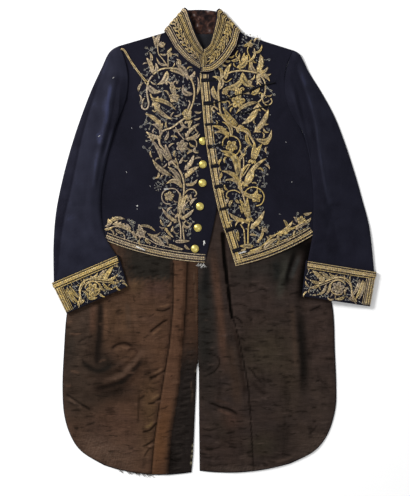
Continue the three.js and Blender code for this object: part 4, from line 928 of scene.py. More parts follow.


# The silk's colour with painted light: its own uneven dye, seams and fluff, plus painted shade in folds and creases and
# under the fronts and sleeves, and painted highlights along ridges.
def tail_colour_and_painted_light(side, x, y):
    px, py = x / 2.33 + 213.75, 241.3 - y / 2.33
    right = side == "right"
    c = np.ones(x.shape + (3,)) * (shade_of(68, 51, 41) if right else shade_of(50, 42, 39))

    def lay(mask, colour, k=1.0):
        nonlocal c
        m = np.clip(mask * k, 0, 1)[..., None]
        c = c * (1 - m) + shade_of(*colour) * m

    def along(pts, wl, wr=None, tp=0.15):
        wr = wl if wr is None else wr
        q = np.stack([LX([a[0] for a in pts]), LY([a[1] for a in pts])], 1)
        q = resample(q, 4.0) if len(q) < 3 else catmull([tuple(v) for v in q], 8)
        d, s, t = near_line(x, y, q)
        w = np.where(s > 0, wr, wl) * 2.33
        return np.exp(-np.abs(d / w) ** 2.6) * ends(t, tp)

    patch = waves(x, y, 88 if right else 89, 52, 1.0)
    lay(np.clip(patch, 0, 1), (76, 56, 44) if right else (56, 46, 41), 0.35)
    lay(np.clip(-patch, 0, 1), (60, 46, 40) if right else (44, 38, 37), 0.35)
    for cx, cy, rx, ry, col, k in TONE_AND_SHADE_BLOBS_R if right else TONE_AND_SHADE_BLOBS_L:
        lay(blob(x, y, cx, cy, rx * 2.33 * 1.15, ry * 2.33 * 1.15), col, k)
    rag = 0.6 * waves(x, y, 90, 13, 1.0)
    shade = np.zeros(x.shape)
    if right:
        # painted shadow under the right front's hem, across the top of this tail
        lay(smooth(108, 136, px + rag * 4) * (1 - smooth(274, 287, py + rag * 3)), GREEN_BLACK, 0.92)
        seam = np.stack([LX([q[0] for q in SEAM_R]), LY([q[1] for q in SEAM_R])], 1)
        fold = np.stack([LX([q[0] for q in FOLD_R]), LY([q[1] for q in FOLD_R])], 1)
        d1, s1, _ = near_line(x, y, seam)
        d2, s2, _ = near_line(x, y, fold)
        sd1, sd2 = d1 * s1, d2 * s2
        strip = smooth(-1, 1, sd1) * (1 - smooth(-1, 1, sd2))
        # the strip between seam and fold: its own faded colour, with painted sheen from the way its grain catches the
        # light
        lay(strip * (1 - smooth(400, 440, py)), (77, 56, 44), 0.92)
        lay(strip * smooth(385, 430, py), (83, 58, 41), 0.92)
        lay(strip * blob(x, y, 164, 470, 24, 26), (66, 48, 38), 0.7)
        # painted shade just outside the seam and a painted highlight along the strip's edge beside it
        lay(np.exp(-((sd1 + 4.5) / 4.0) ** 2) * (sd1 < 0), (52, 38, 31), 0.5)
        lay(np.exp(-((sd1 - 4.2) / 2.4) ** 2), (86, 64, 50), 0.4)
        # right of the fold: the silk's brown above, painted shade below, a painted shadow line along the fold and
        # painted shade on either side of it lower down
        inner = smooth(-1, 1, sd2)
        low = smooth(318, 376, py + 0.12 * (px - 190) + rag * 5)
        lay(inner * (1 - low), (61, 45, 36), 0.95)
        shade = inner * low
        lay(shade, (33, 30, 29), 0.97)
        lay(inner * (1 - low) * np.exp(-(sd2 / 5.6) ** 2), (15, 12, 11), 0.95)
        lay(np.exp(-((sd2 + 3.0) / 3.6) ** 2) * (1 - inner), (52, 38, 30), 0.6)
        lay(np.exp(-((sd2 + 1.0) / 9.0) ** 2) * (1 - inner) * smooth(350, 410, py), (50, 39, 33), 0.75)
        lay(np.exp(-((sd2 - 2.0) / 4.0) ** 2) * smooth(350, 410, py), (28, 24, 22), 0.6)
        lay(np.exp(-(d1 / 2.0) ** 2), (19, 14, 12), 0.97)
    else:
        body = near_line(x, y, np.stack([LX([222.5, 224, 226, 228.3, 230.6, 231.8]), LY([234, 255, 272, 290, 308, 318])], 1))
    # painted shade along creases and folds, painted highlights along ridges
    for pts, wl, wr, col, k, tp in LIGHT_AND_SHADE_STROKES_R if right else LIGHT_AND_SHADE_STROKES_L:
        lay(along(pts, wl, wr, tp), col, k)
    if right:
        for pts, w in (([(193, 266), (195, 290), (197, 330)], 0.5), ([(190.4, 380), (192, 392), (191, 404)], 0.6)):
            lay(along(pts, w), (84, 68, 56), 0.5)
        # small wrinkles across the shaded part: painted highlights on their tops and painted shade under them
        for k in range(15):
            yy = 352 + k * 8.2 + 2.0 * math.sin(k * 2.3)
            xx = np.interp(yy, [350, 384, 415, 440, 475], [182, 179.5, 174.6, 171, 168])
            lay(along([(xx + 3, yy + 1.5), (xx + 8 + 2 * math.sin(k), yy), (xx + 14, yy - 1.5 + math.cos(k * 1.7))], 0.8, 1.1, 0.25), (48, 43, 40), 0.5)
            lay(along([(xx + 2, yy + 4.2), (xx + 8, yy + 3.4 + math.sin(k * 3)), (xx + 13, yy + 2.2)], 0.8, 0.9, 0.25), (17, 15, 14), 0.6)
        for cx, cy, r in ((193.2, 446, 0.9), (192.6, 451.6, 0.7), (192.2, 457, 1.0), (191.4, 463.6, 0.9), (196.4, 371, 0.6), (195.6, 399, 0.5)):
            lay(blob(x, y, cx, cy, r * 2.33, r * 3.4), (168, 160, 132), 0.85)
    else:
        # painted shadow: the deep pleat drawn black
        lay(1 - smooth(4.4, 6.6, body[0] + 1.8 * body[2]), BLACK, 1.0)
        seam = along(PLEAT_L[3:], 0.8, 0.8, 0.02)
        lay(seam, (17, 13, 12), 0.95)
        # painted shadow under the left front's hem
        lay(along([(236, 262), (262, 254.5), (290, 246), (312, 237)], 1.6, 3.4, 0.05), (15, 14, 13), 0.85)
    # painted shade in the troughs of the small puckers and painted highlights on their ridges
    for pts, w, d in CRINKLES[side]:
        m = along(pts, w * 0.30, w * 0.36, 0.3)
        lay(m * (1 - shade), CREASE_SHADE if d > 0 else ((92, 70, 57) if right else (70, 59, 54)), 0.75 if d > 0 else 0.45)
        lay(m * shade, (17, 15, 14) if d > 0 else (48, 44, 41), 0.6)
    fluff = waves(x, y, 93, 5.5, 1.0)
    hem = blob(x, y, 104, 456, 78, 34, -0.45) if right else blob(x, y, 322, 446, 66, 22, 0.75) + 0.8 * blob(x, y, 256, 470, 110, 9)
    lay(np.clip(hem, 0, 1) * np.clip(0.45 + 0.8 * fluff, 0, 1), (94, 78, 68) if right else (84, 72, 64), 0.62)
    return c


def tail(side):
    s = OUT[side]
    rho = rim_rows(np.linspace(0, 10, 226), 0.012)
    t = sample(TAIL[side], rho)
    hem = smooth(9.0, 10.0, rho) * LINING_INSET
    t["outX"] = t["outX"] - s * LINING_INSET
    shut = smooth(-306, -276, t["inY"])
    t["inX"] = (t["inX"] + s * LINING_INSET * 0.5) * (1 - shut) + (-36.4 + s * 0.15) * shut
    t["outY"] = t["outY"] + hem * 0.8
    t["inY"] = t["inY"] + hem
    bow = -s * TAIL_HEM_BOW[side] * (1 - smooth(0, 1.4, 10 - rho))
    P = levels(t, "out", "in", rim_shares(250, 2.5), bow)
    x, y = P[..., 0], P[..., 1]
    relief, live = tail_relief(side, x, y)
    edge = np.minimum(np.arange(P.shape[1]), np.arange(P.shape[1])[::-1])[None] * 2.5
    hemd = np.minimum(9999, (len(rho) - 1 - np.arange(len(rho)))[:, None] * 2.8)
    quiet = smooth(0, 16, edge) * smooth(0, 16, hemd)
    relief = relief * (0.25 + 0.75 * quiet)
    relief = np.maximum(relief, -0.9 + 0.25 * np.tanh(relief)) + 1.6 * live * quiet
    top = LINING_Z + SILK + np.maximum(relief, 0.0)
    k = rounded(P.shape[:2]) * SILK * 0.42
    low = np.dstack([P, np.maximum(LINING_Z, top - SILK) + k])
    high = np.dstack([P, top - k])
    ob = slab(f"silk_tail_{side}", low, high, M_SILK, P, {"tint_and_painted_light": tail_colour_and_painted_light(side, x, y)})
    keep(ob, "silk_lining", f"tail_lining_{side}")
    return ob


for s_ in ("right", "left"):
    tail(s_)


# foreparts
def forepart(side):
    s = OUT[side]
    rho = rim_rows(np.linspace(0, 11, 150), 0.02)
    t = sample(FORE[side], rho)
    t["sideX"] = t["sideX"] + s * t["lap"]
    bow = -s * FORE_HEM_BOW[side] * np.maximum(0, 1 - rho / 1.5)
    P = levels(t, "side", "front", rim_shares(230, 3.6), bow)
    x, y = P[..., 0], P[..., 1]
    ob, a = cloth(f"front_{side}", P, fore_top(side, x, y) - FOREPART, FOREPART, M_WOOL)
    keep(ob, "broadcloth", f"forepart_{side}")
    return ob


for s_ in ("right", "left"):
    forepart(s_)


# sleeves
def cuff_point(side, t):
    c = CUFF[side]
    return {k: v[0] + (v[1] - v[0]) * t for k, v in c.items()}


def sleeve_table(side):
    def inset(r):
        dx, dy = r["inX"] - r["outX"], r["inY"] - r["outY"]
        L = math.hypot(dx, dy)
        return [r["outX"] + dx / L * CUFF_ROOM, r["outY"] + dy / L * CUFF_ROOM, r["inX"] - dx / L * CUFF_ROOM, r["inY"] - dy / L * CUFF_ROOM, 0]
    top, wrist = inset(cuff_point(side, 0.0)), inset(cuff_point(side, 0.96))
    keys = ["outX", "outY", "inX", "inY", "bow"]
    t = {k: np.append(SLEEVE[side][k], top[i]) for i, k in enumerate(keys)}
    fine, rho = fill(t, 15)
    tail_rows = np.linspace(0, 1, 12)[1:]
    for i, k in enumerate(keys):
        fine[k] = np.concatenate([fine[k], top[i] + (wrist[i] - top[i]) * tail_rows])
    return fine, np.concatenate([rho, 9 + tail_rows])


SLEEVE_CREASES = {
    "right": [
        ([(121, 66), (117.6, 88), (114.6, 106), (111, 124), (107, 142), (103, 162)], 6, 4.2, 0.2),
        ([(111, 78), (108, 99), (106, 118), (102, 142), (97, 168), (93, 196)], 6, -2.8, 0.2),
        ([(97, 90), (87.8, 115), (81, 140), (75.3, 167.3), (69.6, 194.5), (65, 212.7), (60.5, 237.7), (57, 266)], 3.0, 1.7, 0.08),
        ([(112, 62), (106, 78), (98, 96)], 6, 1.4, 0.3), ([(60, 200), (72, 206), (84, 204)], 6, 1.2, 0.3),
        ([(58, 222), (72, 232), (92, 230)], 7, 1.4, 0.3), ([(60, 246), (76, 252), (98, 244)], 7, 1.2, 0.3),
    ],
    "left": [
        ([(295.8, 60), (303.3, 82.5), (310.8, 105), (315.8, 125), (318.3, 145), (322, 170), (325.8, 190), (331, 214)], 4.6, -2.6, 0.15),
        ([(289, 66), (297, 92), (304, 118), (310, 146), (315, 174)], 6, 3.4, 0.2),
        ([(316, 74), (326, 100), (334, 136)], 9, 1.4, 0.3),
        ([(316, 190), (330, 198), (344, 192)], 7, 1.0, 0.3), ([(316, 212), (334, 222), (352, 214)], 7, 1.2, 0.3),
        ([(314, 238), (334, 244), (356, 240)], 7, 1.0, 0.3),
    ],
}


def sleeve(side):
    s = OUT[side]
    t, rho = sleeve_table(side)
    incuff = smooth(7.5, 8.55, rho)[:, None]
    L = np.hypot(t["inX"] - t["outX"], t["inY"] - t["outY"])[:, None]
    fixed = np.array([0.0, 0.8, 2.0, 3.6, 5.6, 8.5, 12.0])
    mid = np.linspace(0, 1, 32)[1:-1]
    sh = np.concatenate([fixed[None] / L, (12.0 / L) + (1 - 24.0 / L) * mid[None], 1 - fixed[None, ::-1] / L], 1)
    tuck = 3.6 * (1 - smooth(0, 0.8, rho))
    P = levels(t, "out", "in", sh, -s * (t["bow"] + tuck))
    x, y = P[..., 0], P[..., 1]
    ground = bed(side, x, y) + (CUFF_T + 0.7) * incuff
    d = np.minimum(sh, 1 - sh) * L
    edge = np.interp(d, [0, 2.4, 5.6], [0, 0.55, 1])
    open_ = np.interp(rho, [0, 0.5, 1.0], [0, 0.75, 1])[:, None]
    arch = np.sin(np.pi * np.clip(sh, 0, 1)) ** 0.75
    free = (1 - smooth(7.7, 8.95, rho))[:, None]
    crown = smooth(0, 1.2, rho)[:, None]
    puff = (SLEEVE_FULL + 8.0 * crown) * arch * free * (0.35 + 0.65 * open_)
    crease = np.zeros(x.shape)
    for pts, w, dep, tp in SLEEVE_CREASES[side]:
        crease = crease + trough(x, y, pts, w, dep, tp)
    crease = crease + 0.35 * waves(x, y, 51 if side == "right" else 52, 85, 1.0)
    soft = smooth(2, 16, d) * free
    up = 2.5 * edge * np.interp(rho, [0, 0.5, 1], [0, 0.7, 1])[:, None] + puff + crease * soft
    up = np.maximum(up, np.minimum(2.5 * edge * open_, 2.5))
    low = np.dstack([P, ground + up])
    high = np.dstack([P, ground + up + WOOL])
    k = rounded(P.shape[:2]) * WOOL * 0.42
    low[..., 2] += k
    high[..., 2] -= k
    # its colour attribute carries the painted sheen and painted shade
    ob = slab(f"sleeve_top_{side}", low, high, M_WOOL, np.dstack([sh * L, rho[:, None] * 60 + 0 * sh]), {"painted_sheen_and_shade": sleeve_sheen_and_shade(side, x, y)})
    keep(ob, "broadcloth", f"top_sleeve_{side}")
    pick = rho >= 1.0
    tu = {k2: v[pick][::3] for k2, v in t.items()}
    ru = rho[pick][::3]
    Lu = np.hypot(tu["inX"] - tu["outX"], tu["inY"] - tu["outY"])[:, None]
    e = UNDER_INSET / Lu
    shu = e + (1 - 2 * e) * np.concatenate([[0, 0.004], np.linspace(0.012, 0.988, 18), [0.996, 1]])[None]
    Pu = levels(tu, "out", "in", shu, -s * tu["bow"])
    gu = bed(side, Pu[..., 0], Pu[..., 1]) + (CUFF_T + 0.7) * smooth(7.5, 8.55, ru)[:, None]
    ob2, a2 = cloth(f"sleeve_under_{side}", Pu, gu, WOOL, M_WOOL)
    keep(ob2, "broadcloth", f"under_sleeve_{side}")


for s_ in ("right", "left"):
    sleeve(s_)


# cuffs
class CuffFace:
    """The cuff's outer face: a runs across from its outer edge, b down from the turned-back edge."""

    def __init__(self, side):
        self.side, c = side, CUFF[side]
        self.o0, self.o1 = np.array([c["outX"][0], c["outY"][0]]), np.array([c["outX"][1], c["outY"][1]])
        self.i0, self.i1 = np.array([c["inX"][0], c["inY"][0]]), np.array([c["inX"][1], c["inY"][1]])
        self.depth = float((np.linalg.norm(self.o1 - self.o0) + np.linalg.norm(self.i1 - self.i0)) / 2)
        self.width = float(np.linalg.norm(self.i0 - self.o0))
        self.r = CUFF_H / 2

    def at(self, ab, h):
        a, b = ab[:, 0], ab[:, 1]
        t = b / self.depth
        o = self.o0[None] + (self.o1 - self.o0)[None] * t[:, None]
        i = self.i0[None] + (self.i1 - self.i0)[None] * t[:, None]
        L = np.linalg.norm(i - o, axis=1)
        e = (i - o) / L[:, None]
        a = a / self.width * L
        r = self.r
        # a wraps round the outer bend below r and round the inner bend past L - r
        th = np.clip((r - a) / r, 0, math.pi) - np.clip((a - (L - r)) / r, 0, math.pi)
        flat = np.clip(a, r, L - r)
        along = flat - (r + h) * np.sin(th)
        up = r + (r + h) * np.cos(th)
        p = o + e * along[:, None]
        z = bed(self.side, p[:, 0], p[:, 1]) + up + self.swell(a / L, t) * np.cos(th)
        n = np.stack([-e[:, 0] * np.sin(th), -e[:, 1] * np.sin(th), np.cos(th)], 1)
        return np.column_stack([p, z]), n

    def swell(self, u, t):
        return 1.6 * np.sin(np.pi * np.clip(u, 0, 1)) * (0.4 + 0.6 * np.sin(np.pi * np.clip(t, 0, 1)))


CUFFS = {s: CuffFace(s) for s in ("right", "left")}


def cuff(side):
    f, r = CUFFS[side], CUFF_H / 2
    rows = np.concatenate([[0, 0.004, 0.012], np.linspace(0.03, 0.97, 22), [0.988, 0.996, 1]])
    arc, across = 12, 46

    def section(q):
        k = np.linspace(0, 1, across + 1)
        th = np.pi * np.arange(1, arc) / arc
        z0 = np.zeros
        return np.concatenate([
            np.column_stack([k, z0(across + 1), np.full(across + 1, r - q), z0(across + 1)]),
            np.column_stack([np.ones(arc - 1), q * np.sin(th), r - q * np.cos(th), (1 - np.cos(th)) / 2]),
            np.column_stack([k[::-1], z0(across + 1), np.full(across + 1, r + q), np.ones(across + 1)]),
            np.column_stack([z0(arc - 1), -q * np.sin(th[::-1]), r - q * np.cos(th[::-1]), (1 - np.cos(th[::-1])) / 2]),
        ])
    grids = []
    for inner in (0, 1):
        sec = section(r - (CUFF_T if inner else 0.0))
        G = []
        for t in rows:
            o, i = f.o0 + (f.o1 - f.o0) * t, f.i0 + (f.i1 - f.i0) * t
            L = np.linalg.norm(i - o)
            e = (i - o) / L
            al = r + (L - 2 * r) * sec[:, 0] + sec[:, 1]
            x, y = o[0] + e[0] * al, o[1] + e[1] * al
            G.append(np.column_stack([x, y, bed(side, x, y) + sec[:, 2] + f.swell(al / L, t) * sec[:, 3]]))
        grids.append(np.array(G))
    R, N = grids[0].shape[:2]
    V = np.concatenate([g.reshape(-1, 3) for g in grids])
    F = []
    k = np.arange(N)
    kn = (k + 1) % N
    for i in range(R - 1):
        a, b = i * N, (i + 1) * N
        F.append(np.stack([a + k, b + k, b + kn, a + kn], 1))
        a, b = a + R * N, b + R * N
        F.append(np.stack([a + kn, b + kn, b + k, a + k], 1))
    F.append(np.stack([k, kn, kn + R * N, k + R * N], 1))
    e = (R - 1) * N
    F.append(np.stack([e + kn, e + k, e + k + R * N, e + kn + R * N], 1))
    F = np.concatenate(F)
    p = V[F]
    if (np.einsum("ij,ij->i", p[:, 0], np.cross(p[:, 1], p[:, 2])) + np.einsum("ij,ij->i", p[:, 0], np.cross(p[:, 2], p[:, 3]))).sum() < 0:
        F = F[:, ::-1]
    uvr = np.tile((rows * f.depth)[:, None], (1, N))
    uvc = np.tile((k * 7.0)[None], (R, 1))
    uv = np.concatenate([np.dstack([uvc, uvr]).reshape(-1, 2)] * 2)
    ob = new_mesh(f"turned_cuff_{side}", V, F, M_WOOL, uv)
    keep(ob, "broadcloth", f"cuff_{side}")


for s_ in ("right", "left"):
    cuff(s_)


# collar
def collar_stations():
    seam, top = [], []

    def flat(t):
        f, _ = fill(t, 12)
        for k in range(len(f["seamX"])):
            seam.append([f["seamX"][k], f["seamY"][k], f["seamZ"][k]])
            top.append([f["topX"][k], f["topY"][k], f["topZ"][k]])

    def fold(side, down, n=18):
        sx, sy, tx, ty = COLLAR_SIDE[side]
        s = OUT[side]
        L = math.hypot(tx - sx, ty - sy)
        nx, ny = (ty - sy) / L * -s, (tx - sx) / L * s
        for k in range(n + 1):
            a = math.pi * (k if down else n - k) / n
            for X, Y, high, out in ((sx, sy, COLLAR_SEAM_HIGH, seam), (tx, ty, COLLAR_TOP_HIGH, top)):
                r = (high - COLLAR_BACK_Z) / 2
                q = r * (1 - math.sin(a)) + COLLAR_T / 2
                out.append([X + nx * q, Y + ny * q, COLLAR_BACK_Z + r * (1 + math.cos(a))])

    flat(COLLAR_RIGHT)
    fold("right", True)
    a0 = len(seam) - 1
    keep_s, keep_t = list(seam), list(top)
    seam.clear(), top.clear()
    fold("left", False)
    fs, ft = list(seam), list(top)
    seam.clear(), top.clear()
    flat(COLLAR_LEFT)
    es, et = list(seam), list(top)
    mid_s, mid_t = [], []
    for k in range(1, 30):
        t = k / 30
        for A, B, out, dip in ((keep_s[-1], fs[0], mid_s, COLLAR_BACK_DIP), (keep_t[-1], ft[0], mid_t, -2.4)):
            out.append([A[0] + (B[0] - A[0]) * t, A[1] + (B[1] - A[1]) * t - 4 * t * (1 - t) * dip, COLLAR_BACK_Z])
    S = np.array(keep_s + mid_s + fs + es)
    T = np.array(keep_t + mid_t + ft + et)
    return S, T, len(keep_s) - 1, len(keep_s) + len(mid_s)


COL_S, COL_T, BACK_A, BACK_B = collar_stations()


class CollarFace:
    """The collar's outer face: a runs round from the right front end, b up from the neck seam."""

    def __init__(self):
        mid = (COL_S + COL_T) / 2
        self.s = np.concatenate([[0], np.cumsum(np.linalg.norm(np.diff(mid, axis=0), axis=1))])
        self.length = float(self.s[-1])
        v = np.linspace(0, 1, 15)
        M = COL_S[:, None] + (COL_T - COL_S)[:, None] * v[None, :, None]
        du = np.gradient(M, axis=0)
        dv = np.gradient(M, axis=1)
        n = np.cross(du, dv)
        n /= np.linalg.norm(n, axis=2, keepdims=True)
        self.M, self.n, self.v = M, n, v

    def at(self, ab, h):
        """b is a share of the collar's height, 0 at the seam and 1 at the top."""
        i = np.interp(ab[:, 0], self.s, np.arange(len(self.s)))
        j = np.clip(ab[:, 1], 0, 1) * (len(self.v) - 1)
        i0 = np.clip(np.floor(i).astype(int), 0, len(self.s) - 2)
        j0 = np.clip(np.floor(j).astype(int), 0, len(self.v) - 2)
        fi, fj = (i - i0)[:, None], (j - j0)[:, None]

        def mix(G):
            return (G[i0, j0] * (1 - fi) + G[i0 + 1, j0] * fi) * (1 - fj) + (G[i0, j0 + 1] * (1 - fi) + G[i0 + 1, j0 + 1] * fi) * fj
        n = -mix(self.n)
        n /= np.linalg.norm(n, axis=1, keepdims=True)
        return mix(self.M) + n * (COLLAR_T / 2 + h)[:, None], n


COLLAR = CollarFace()


def collar():
    M, n = COLLAR.M, COLLAR.n
    k = rounded(M.shape[:2])[..., None] * COLLAR_T * 0.2
    low, high = M - n * (COLLAR_T / 2 - k), M + n * (COLLAR_T / 2 - k)
    uv = np.dstack([np.tile(COLLAR.s[:, None], (1, 15)), np.tile((COLLAR.v * 60)[None], (len(COLLAR.s), 1))])
    ob = slab("stand_collar", low, high, M_WOOL, uv)
    keep(ob, "broadcloth", "collar")
    # worn facing inside the back
    Mb, nb = M[BACK_A:BACK_B + 1], n[BACK_A:BACK_B + 1]
    cols = np.linspace(0.04, 0.97, 40)
    j = np.interp(cols, COLLAR.v, np.arange(15))
    j0 = np.clip(np.floor(j).astype(int), 0, 13)
    fj = (j - j0)[None, :, None]
    G = Mb[:, j0] * (1 - fj) + Mb[:, j0 + 1] * fj
    N = nb[:, j0] * (1 - fj) + nb[:, j0 + 1] * fj
    i = np.linspace(0, len(G) - 1, 90)
    i0 = np.clip(np.floor(i).astype(int), 0, len(G) - 2)
    fi = (i - i0)[:, None, None]
    G = G[i0] * (1 - fi) + G[i0 + 1] * fi
    N = N[i0] * (1 - fi) + N[i0 + 1] * fi
    wr = np.maximum(0, waves(G[..., 0], G[..., 1], 77, 13, 0.45)) + np.maximum(0, waves(G[..., 0], G[..., 1], 78, 30, 0.7))
    k = rounded(G.shape[:2]) * 0.4
    lo = G + N * (COLLAR_T / 2 + GAP + k)[..., None]
    hi = G + N * (COLLAR_T / 2 + GAP + SILK + np.minimum(wr, 1.6) * (1 - np.clip(k, 0, 0.4) / 0.4) - k)[..., None]
    ob = slab("collar_facing", lo, hi, M_VELVET, G[..., :2])
    keep(ob, "collar_facing", "collar_lining")


collar()


# buttons
def button(i):
    cx, cy = BUTTONS["x"][i], BUTTONS["y"][i]
    z0 = float(fore_top("right", np.array([cx]), np.array([cy]))[0]) + 0.2
    r, h = BUTTON_R, BUTTON_H
    prof = [(0.0, 0.0), (r * 0.84, 0.0), (r * 0.97, 0.35), (r, 0.95), (r * 0.985, 1.5), (r * 0.93, 1.85), (r * 0.885, 1.8), (r * 0.86, 1.62)]
    for k in range(1, 17):
        a = k / 16 * math.pi / 2
        prof.append((r * 0.85 * math.cos(a), 1.62 + (h - 1.75) * math.sin(a)))
    # a shallow raised ring and a small boss on the dome, plain turned work
    out = []
    for q, z in prof[:-1]:
        z += 0.22 * math.exp(-((q - r * 0.56) / 0.45) ** 2) * (z > 1.7) + 0.18 * math.exp(-((q) / 1.3) ** 2) * (z > 2.5)
        out.append((q, z))
    seg = 56
    ang = np.arange(seg) * math.tau / seg
    V, F = [], []
    rng_b = np.random.default_rng(90 + i)
    lean = rng_b.uniform(-0.06, 0.06, 2)
    for q, z in out[1:]:
        for a in ang:
            V.append([cx + q * math.cos(a), cy + q * math.sin(a), z0 + z + lean[0] * q * math.cos(a) * 0.6 + lean[1] * q * math.sin(a) * 0.6])
    n = len(out) - 1
    for k in range(n - 1):
        for j in range(seg):
            F.append((k * seg + j, k * seg + (j + 1) % seg, (k + 1) * seg + (j + 1) % seg, (k + 1) * seg + j))
    V.append([cx, cy, z0])
    V.append([cx, cy, z0 + out[-1][1] + 0.06])
    for j in range(seg):
        F.append((len(V) - 2, (j + 1) % seg, j))
        F.append((len(V) - 1, (n - 1) * seg + j, (n - 1) * seg + (j + 1) % seg))
    ob = new_mesh(f"brass_button_{i + 1}", V, F, M_BRASS, np.array(V)[:, :2])
    keep(ob, "button_brass", f"button_{i + 1}")


for i_ in range(6):
    button(i_)


# ------------------------------------------------------------------ embroidery
class Plan:
    """The face of a forepart: a and b are x and y."""

    def __init__(self, side, turn=None):
        self.side, self.turn = side, turn

    def at(self, ab, h):
        p = np.array(ab, float)
        if self.turn is not None:
            p = self.turn(p)
        x, y = p[:, 0], p[:, 1]
        e = 1.0
        zx = (fore_top(self.side, x + e, y) - fore_top(self.side, x - e, y)) / (2 * e)
        zy = (fore_top(self.side, x, y + e) - fore_top(self.side, x, y - e)) / (2 * e)
        n = np.stack([-zx, -zy, np.ones_like(x)], 1)
        n /= np.linalg.norm(n, axis=1, keepdims=True)
        return np.column_stack([x, y, fore_top(self.side, x, y)]) + n * h[:, None], n


class Work:
    """Raised needlework drawn on a face in its own flat millimetres."""

    def __init__(self, face, seed=1, tone=None):
        self.face, self.V, self.F, self.UV, self.T, self.D, self.H = face, [], [], [], [], [], []
        self.n, self.r, self.tone = 0, np.random.default_rng(seed), tone or (lambda p: 0.5)

    def grid(self, P, H, uv, dark, tone, closed=False):
        R, C = P.shape[:2]
        i, j = np.meshgrid(np.arange(R - 1), np.arange(C - 1), indexing="ij")
        a = (i * C + j).reshape(-1) + self.n
        self.F.append(np.stack([a, a + 1, a + C + 1, a + C], 1))
        self.V.append(P.reshape(-1, 2))
        self.H.append(np.broadcast_to(H, (R, C)).reshape(-1))
        self.UV.append(uv.reshape(-1, 2))
        self.D.append(np.broadcast_to(dark, (R, C)).reshape(-1))
        self.T.append(np.broadcast_to(tone, (R, C)).reshape(-1))
        self.n += R * C

    def pick(self, p, shift=0.0):
        return float(np.clip(self.tone(p) + self.r.normal(0, 0.20) + shift, 0, 1))

    def leaf(self, p0, p1, width, bend=0.0, teeth=0, height=1.6, tone=None, blunt=0.0, rib=True, rows=None):
        """A leaf from p0 to its tip p1; bend bows it to its left, as a share of its length."""
        p0, p1 = np.array(p0, float), np.array(p1, float)
        d = p1 - p0
        L = float(np.hypot(*d)) or 1.0
        e, m = d / L, np.array([-d[1], d[0]]) / L
        n = rows or max(8, min(18, int(L / 2.4)) + (3 * teeth if teeth else 0))
        t = np.linspace(0, 1, n)
        s = np.array([-1.0, -0.80, -0.38, -0.12, 0.12, 0.38, 0.80, 1.0]) if rib else np.array([-1.0, -0.62, 0.0, 0.62, 1.0])
        env = np.sin(np.pi * np.clip(t, 0, 1) ** (0.72 + 0.3 * blunt)) ** (0.75 - 0.3 * blunt)
        env = np.maximum(env, 0.10 * (1 - t))
        if teeth:
            saw = (t * teeth + 0.15) % 1.0
            env = env * (1 - 0.42 * (1 - saw) * (t > 0.04) * (t < 0.95))
        T, S = t[:, None], s[None]
        fwd = (0.10 if teeth else 0.03) * np.abs(S) ** 1.4 * (1 - T) * L
        bow = bend * L * 4 * T * (1 - T)
        slope = bend * 4 * (1 - 2 * T)
        nx, ny = -slope / np.hypot(1, slope), 1 / np.hypot(1, slope)
        w = width / 2 * env[:, None] * S
        along = T * L + fwd + nx * w
        across = bow + ny * w
        P = p0 + along[..., None] * e + across[..., None] * m
        dome = np.sqrt(np.clip(1 - S**2 * 0.92, 0, 1))
        H = height * (0.35 + 0.65 * dome) * np.minimum(1, 0.35 + 2.2 * np.sin(np.pi * T) ** 0.7)
        if rib:
            H = H - 0.50 * height * np.exp(-((S / 0.2) ** 2)) * (T < 0.9)
        H = np.where(np.abs(S) > 0.99, -0.5, H)
        H = np.where((T < 0.001) | (T > 0.999), np.minimum(H, 0.1), H)
        # dark: dark veins along the midrib groove, and painted shade at the sunk edges, at the base and between the
        # teeth
        dark = np.zeros((n, len(s)))
        if rib:
            dark += 1.0 * (np.abs(S) < 0.2) * (T > 0.05) * (T < 0.84) * (0.55 + 0.45 * np.sin(T * L * 1.3) ** 2)
        dark = np.maximum(dark, 0.8 * (np.abs(S) > 0.95))
        dark = np.maximum(dark, 0.45 * (T < 0.12))
        if width > 6.5 and rib:
            dark = np.maximum(dark, 0.62 * (np.sin(T * L * 1.15 - np.abs(S) * 3.0) > 0.25) * (np.abs(S) > 0.3) * (np.abs(S) < 0.9) * (T > 0.1))
        if teeth:
            dark = np.maximum(dark, (0.5 * (1 - saw) ** 6)[:, None] * (np.abs(S) > 0.3))
        uv = np.dstack([np.abs(w) + T * L * 0.55, T * L + 0 * w])
        tone = self.pick(p0) if tone is None else tone
        # tone: the leaf's gilding, raised towards its middle as a painted highlight along the crest
        self.grid(P, H, uv, dark, np.clip(tone + 0.30 * (0.5 - np.abs(S)) + 0.18 * np.sin(T * 5 + L), 0, 1))

    def acanthus(self, p0, p1, width, bend=0.0, lobes=4, height=2.0, tone=None):
        """A lobed leaf: side lobes curling out of a spine, with a blade at the tip."""
        p0, p1 = np.array(p0, float), np.array(p1, float)
        d = p1 - p0
        L = float(np.hypot(*d)) or 1.0
        e, m = d / L, np.array([-d[1], d[0]]) / L
        tone = self.pick(p0) if tone is None else tone

        def mid(t):
            return p0 + e * L * t + m * bend * L * 4 * t * (1 - t)

        for k in range(lobes):
            f = k / max(1, lobes - 1)
            t = 0.06 + 0.60 * f
            v = e + m * bend * 4 * (1 - 2 * t)
            v = v / np.hypot(*v)
            n = np.array([-v[1], v[0]])
            for q in (-1, 1):
                size = width * (0.66 - 0.22 * f) * self.r.uniform(0.86, 1.12)
                a = 0.70 - 0.16 * f + self.r.uniform(-0.08, 0.08)
                tip = mid(t) + (v * math.cos(a) + n * q * math.sin(a)) * size
                self.leaf(mid(t), tip, size * 0.46, -q * 0.13, 0, height * 0.85, float(np.clip(tone + self.r.normal(0, 0.10), 0, 1)), 0.5, False, 6)
        self.leaf(p0, p1, width * 0.62, bend, 0, height * 1.05, tone, 0.42, True, 14)
        self.leaf(p0, mid(0.66), width * 0.17, bend * 0.7, 0, height * 1.2, float(np.clip(tone + 0.2, 0, 1)), 0.6, True, 8)

